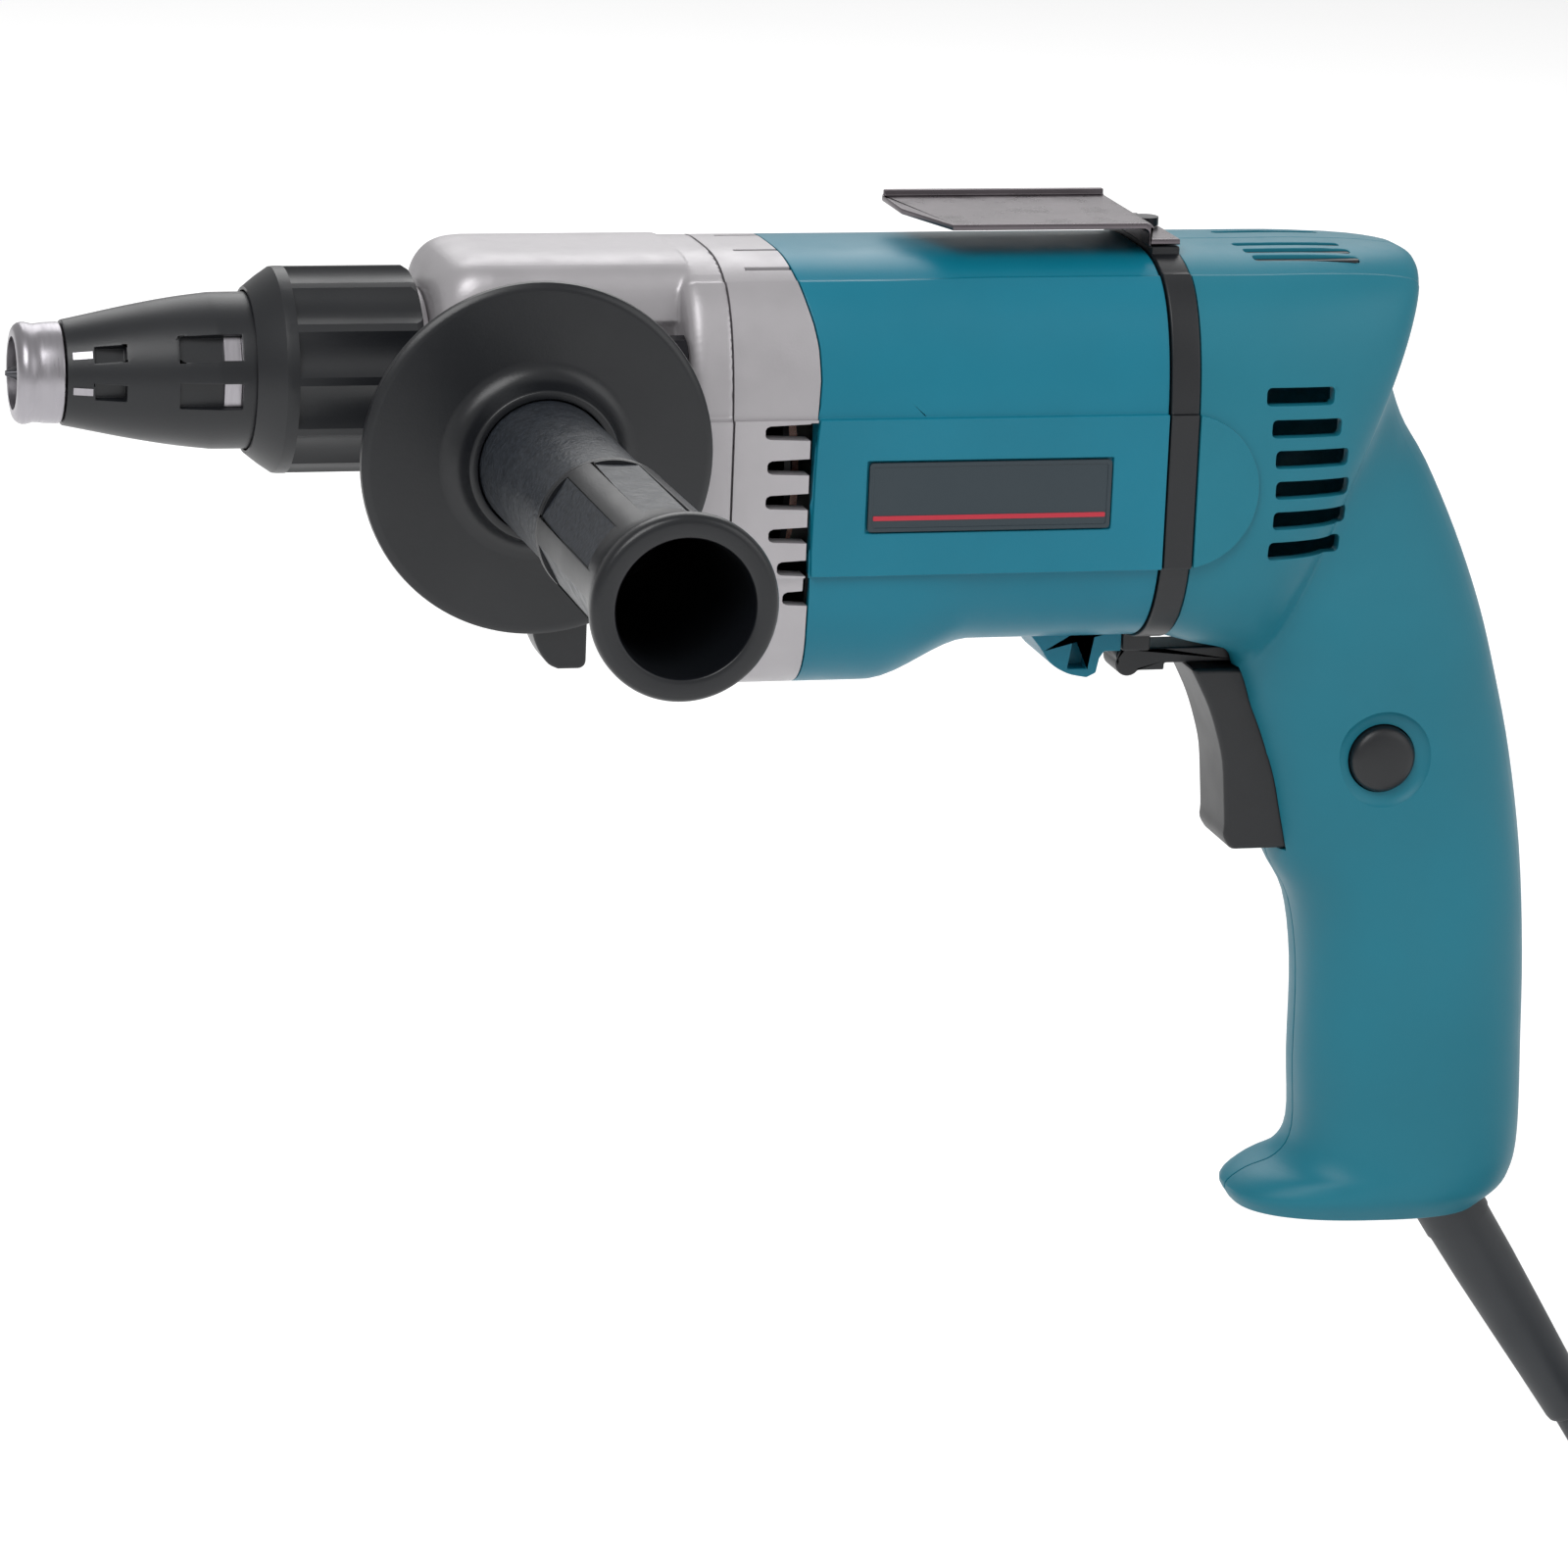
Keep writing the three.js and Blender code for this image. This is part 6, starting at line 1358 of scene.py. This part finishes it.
SIDE = (SIDE_X, 0, SIDE_Z)
DISC_PROFILE = [
    (-27.3, 4.3), (-27.3, 14), (-38.4, 14), (-39.6, 14.3), (-40.8, 15.4), (-41.7, 17), (-42, 19),
    (-42, 31.8), (-42.3, 32.8), (-43.2, 33.4), (-44.2, 33.2), (-44.8, 32.5), (-45, 31.6), (-45, 19),
    (-45.4, 17.4), (-46.4, 16), (-48, 15), (-50.2, 14.5), (-50.9, 14.2), (-51, 13.6), (-51, 12.7),
    (-45, 12.7), (-45, 4.3),
]
STUB_BOTTOM = SIDE_Z - 34 - 6.7
STUB_LEFT = SIDE_X + 0.3
STUB_RIGHT = SIDE_X + 10.8
STUB_HEIGHT = 13.4
STUB_FACES = (-42.2, -34)
STUB_CORNER = 1.5
STUB_SLOPE = [(0, 8), (0.5, 5.6), (1.8, 2.9), (3.4, 0.9), (5.2, 0)]


def add_guard():
    body = lathe("guard_disc", "y", DISC_PROFILE, SIDE, 128, True)
    slope = [(STUB_LEFT + a, STUB_BOTTOM + b) for a, b in curved(STUB_SLOPE, 3)]
    corner = arc(STUB_RIGHT - STUB_CORNER, STUB_BOTTOM + STUB_CORNER, STUB_CORNER, 270, 360, 5)
    top = STUB_BOTTOM + STUB_HEIGHT
    lug = slab_xz("lug", slope + corner + [(STUB_RIGHT, top), (STUB_LEFT, top)], *STUB_FACES)
    edged(lug, 0.6, 40, 3)
    joined(body, lug)
    placed(shaded(edged(body, 0.25, 44)), "tool", "guard_plastic", "hand_guard")


GRIP_PADS = 6
GRIP_JOINT = -100.8
PAD_START = -103.8
PAD_END = -143
PAD_HALF = 4.35
PAD_FLOOR = 12.3
PAD_GAP = 0.15
PAD_TURN = radians(2)
BASE_PROFILE = [
    (-45.3, 0.01), (-45.3, 12.3), (-45.6, 12.4), (-99, 12.2), (-100.3, 12.1), (GRIP_JOINT, 11.9),
    (GRIP_JOINT, 9.7), (-66, 8.6), (-66, 0.01),
]
GRIP_PROFILE = [
    (GRIP_JOINT - 0.1, 9.7), (GRIP_JOINT - 0.1, 12.7), (-101.2, 13.0), (-101.7, 13.15), (-102.2, 13.1),
    (-102.6, 12.95), (-103, 13.1), (-125, 13.3), (-146, 13.5), (-150.5, 13.8), (-154.5, 14.8),
    (-156.3, 15.7), (-157.4, 16.2), (-158.4, 16.4), (-159.6, 16.4), (-160.4, 16.1), (-160.9, 15.5),
    (-161, 14.7), (-161, 13.2), (-160.8, 12.4), (-160.2, 12.1), (-146, 11.4),
]


def add_grip_base():
    body = lathe("side_grip_base", "y", BASE_PROFILE, SIDE, 120)
    cut(body, rod("stud_way", "y", 4.3, -62.3, -43, SIDE, 32))
    placed(shaded(body, 40), "tool", "guard_plastic", "side_grip", finish="grip_grain")


def add_grip_sleeve():
    body = lathe("side_grip_sleeve", "y", GRIP_PROFILE, SIDE, 144, True)
    pads = []
    recesses = []
    left = SIDE_X - PAD_HALF
    right = SIDE_X + PAD_HALF
    floor = SIDE_Z + PAD_FLOOR
    for i in range(GRIP_PADS):
        turn = 2 * pi * i / GRIP_PADS + PAD_TURN
        recess = block("recess", left, right, PAD_END, PAD_START, floor - 0.2, SIDE_Z + 17)
        near = PAD_END + PAD_GAP
        far = PAD_START - PAD_GAP
        pad = block("pad", left + PAD_GAP, right - PAD_GAP, near, far, floor - 0.3, floor)
        recesses.append(turned_about(recess, "Y", turn, SIDE))
        pads.append(turned_about(pad, "Y", turn, SIDE))
    cut(body, together("recesses", recesses))
    placed(shaded(edged(body, 0.15, 40)), "tool", "guard_plastic", "side_grip")
    grained = together("side_grip_pads", pads)
    shaded(grained)
    placed(grained, "tool", "guard_plastic", "side_grip", finish="grip_grain")


def dress_cad_nodes():
    record = frame["record"]
    slots = {row["node"]: row["material_slot"] for row in record["subparts"]}
    for name, obj in nodes.items():
        finish = finishes[slots[name]]
        if not obj.material_slots:
            obj.data.materials.append(finish)
        for place in obj.material_slots:
            place.material = finish


for add in (
    add_gear_housing, add_bearing_housing, add_motor_housing, add_name_plate, add_band,
    add_belt_hook, add_handle, add_roof_vent_shade, add_trigger, add_lever, add_lock_button,
    add_cord_guard, add_neck, add_sleeve, add_cone, add_cone_metal, add_ring, add_guard,
    add_grip_base, add_grip_sleeve,
):
    add()
dress_cad_nodes()

# Floor and light, in metres

FLOOR_HALF = 9
FLOOR_GLOW = 0.4
FLOOR_TONES = [(NOISE_LOW, (0.80, 0.80, 0.80, 1)), (NOISE_HIGH, (0.82, 0.82, 0.82, 1))]
WORLD_STRENGTH = 0.5
WHITE = (1, 1, 1, 1)


def add_floor():
    z = FLOOR * MM
    corners = [(FLOOR_HALF * x, FLOOR_HALF * y, z) for x, y in ((-1, -1), (1, -1), (1, 1), (-1, 1))]
    floor = raw("floor", corners, [(0, 1, 2, 3)])
    f = Finish("pale_floor")
    f.fixed(Roughness=0.9, Specular_IOR_Level=0.1)
    f.base(f.noise(3, 3), FLOOR_TONES)
    path = f.add("ShaderNodeLightPath").outputs
    seen = f.math("MAXIMUM", path["Is Camera Ray"], path["Is Glossy Ray"])
    clear = f.math("MAXIMUM", seen, path["Is Transmission Ray"])
    glow = f.add("ShaderNodeEmission", Color=WHITE)
    f.link(f.math("MULTIPLY", clear, FLOOR_GLOW), glow.inputs["Strength"])
    both = f.add("ShaderNodeAddShader")
    f.link(f.shader.outputs[0], both.inputs[0])
    f.link(glow.outputs[0], both.inputs[1])
    f.link(both.outputs[0], f.tree.nodes["Material Output"].inputs["Surface"])
    floor.data.materials.append(f.material)


def add_light(name, place, target, size, power):
    data = bpy.data.lights.new(name, "AREA")
    data.energy = power
    data.size = size
    light = bpy.data.objects.new(name, data)
    aim = (Vector(target) - Vector(place)).to_track_quat("-Z", "Y")
    light.matrix_world = Matrix.Translation(Vector(place)) @ aim.to_matrix().to_4x4()
    scene.collection.objects.link(light)


def add_world():
    world = bpy.data.worlds.new("studio")
    world.use_nodes = True
    background = world.node_tree.nodes["Background"]
    background.inputs["Color"].default_value = WHITE
    background.inputs["Strength"].default_value = WORLD_STRENGTH
    scene.world = world


add_floor()
add_world()
TARGET = (-0.12, 0, 0.06)
add_light("key", (-0.9, -1.1, 1.5), TARGET, 1.1, 18)
add_light("fill", (1.3, -1.2, 0.9), TARGET, 1.3, 7)
add_light("rear", (0.2, 1.5, 1.3), TARGET, 1.4, 12)
scene.view_settings.view_transform = "Standard"
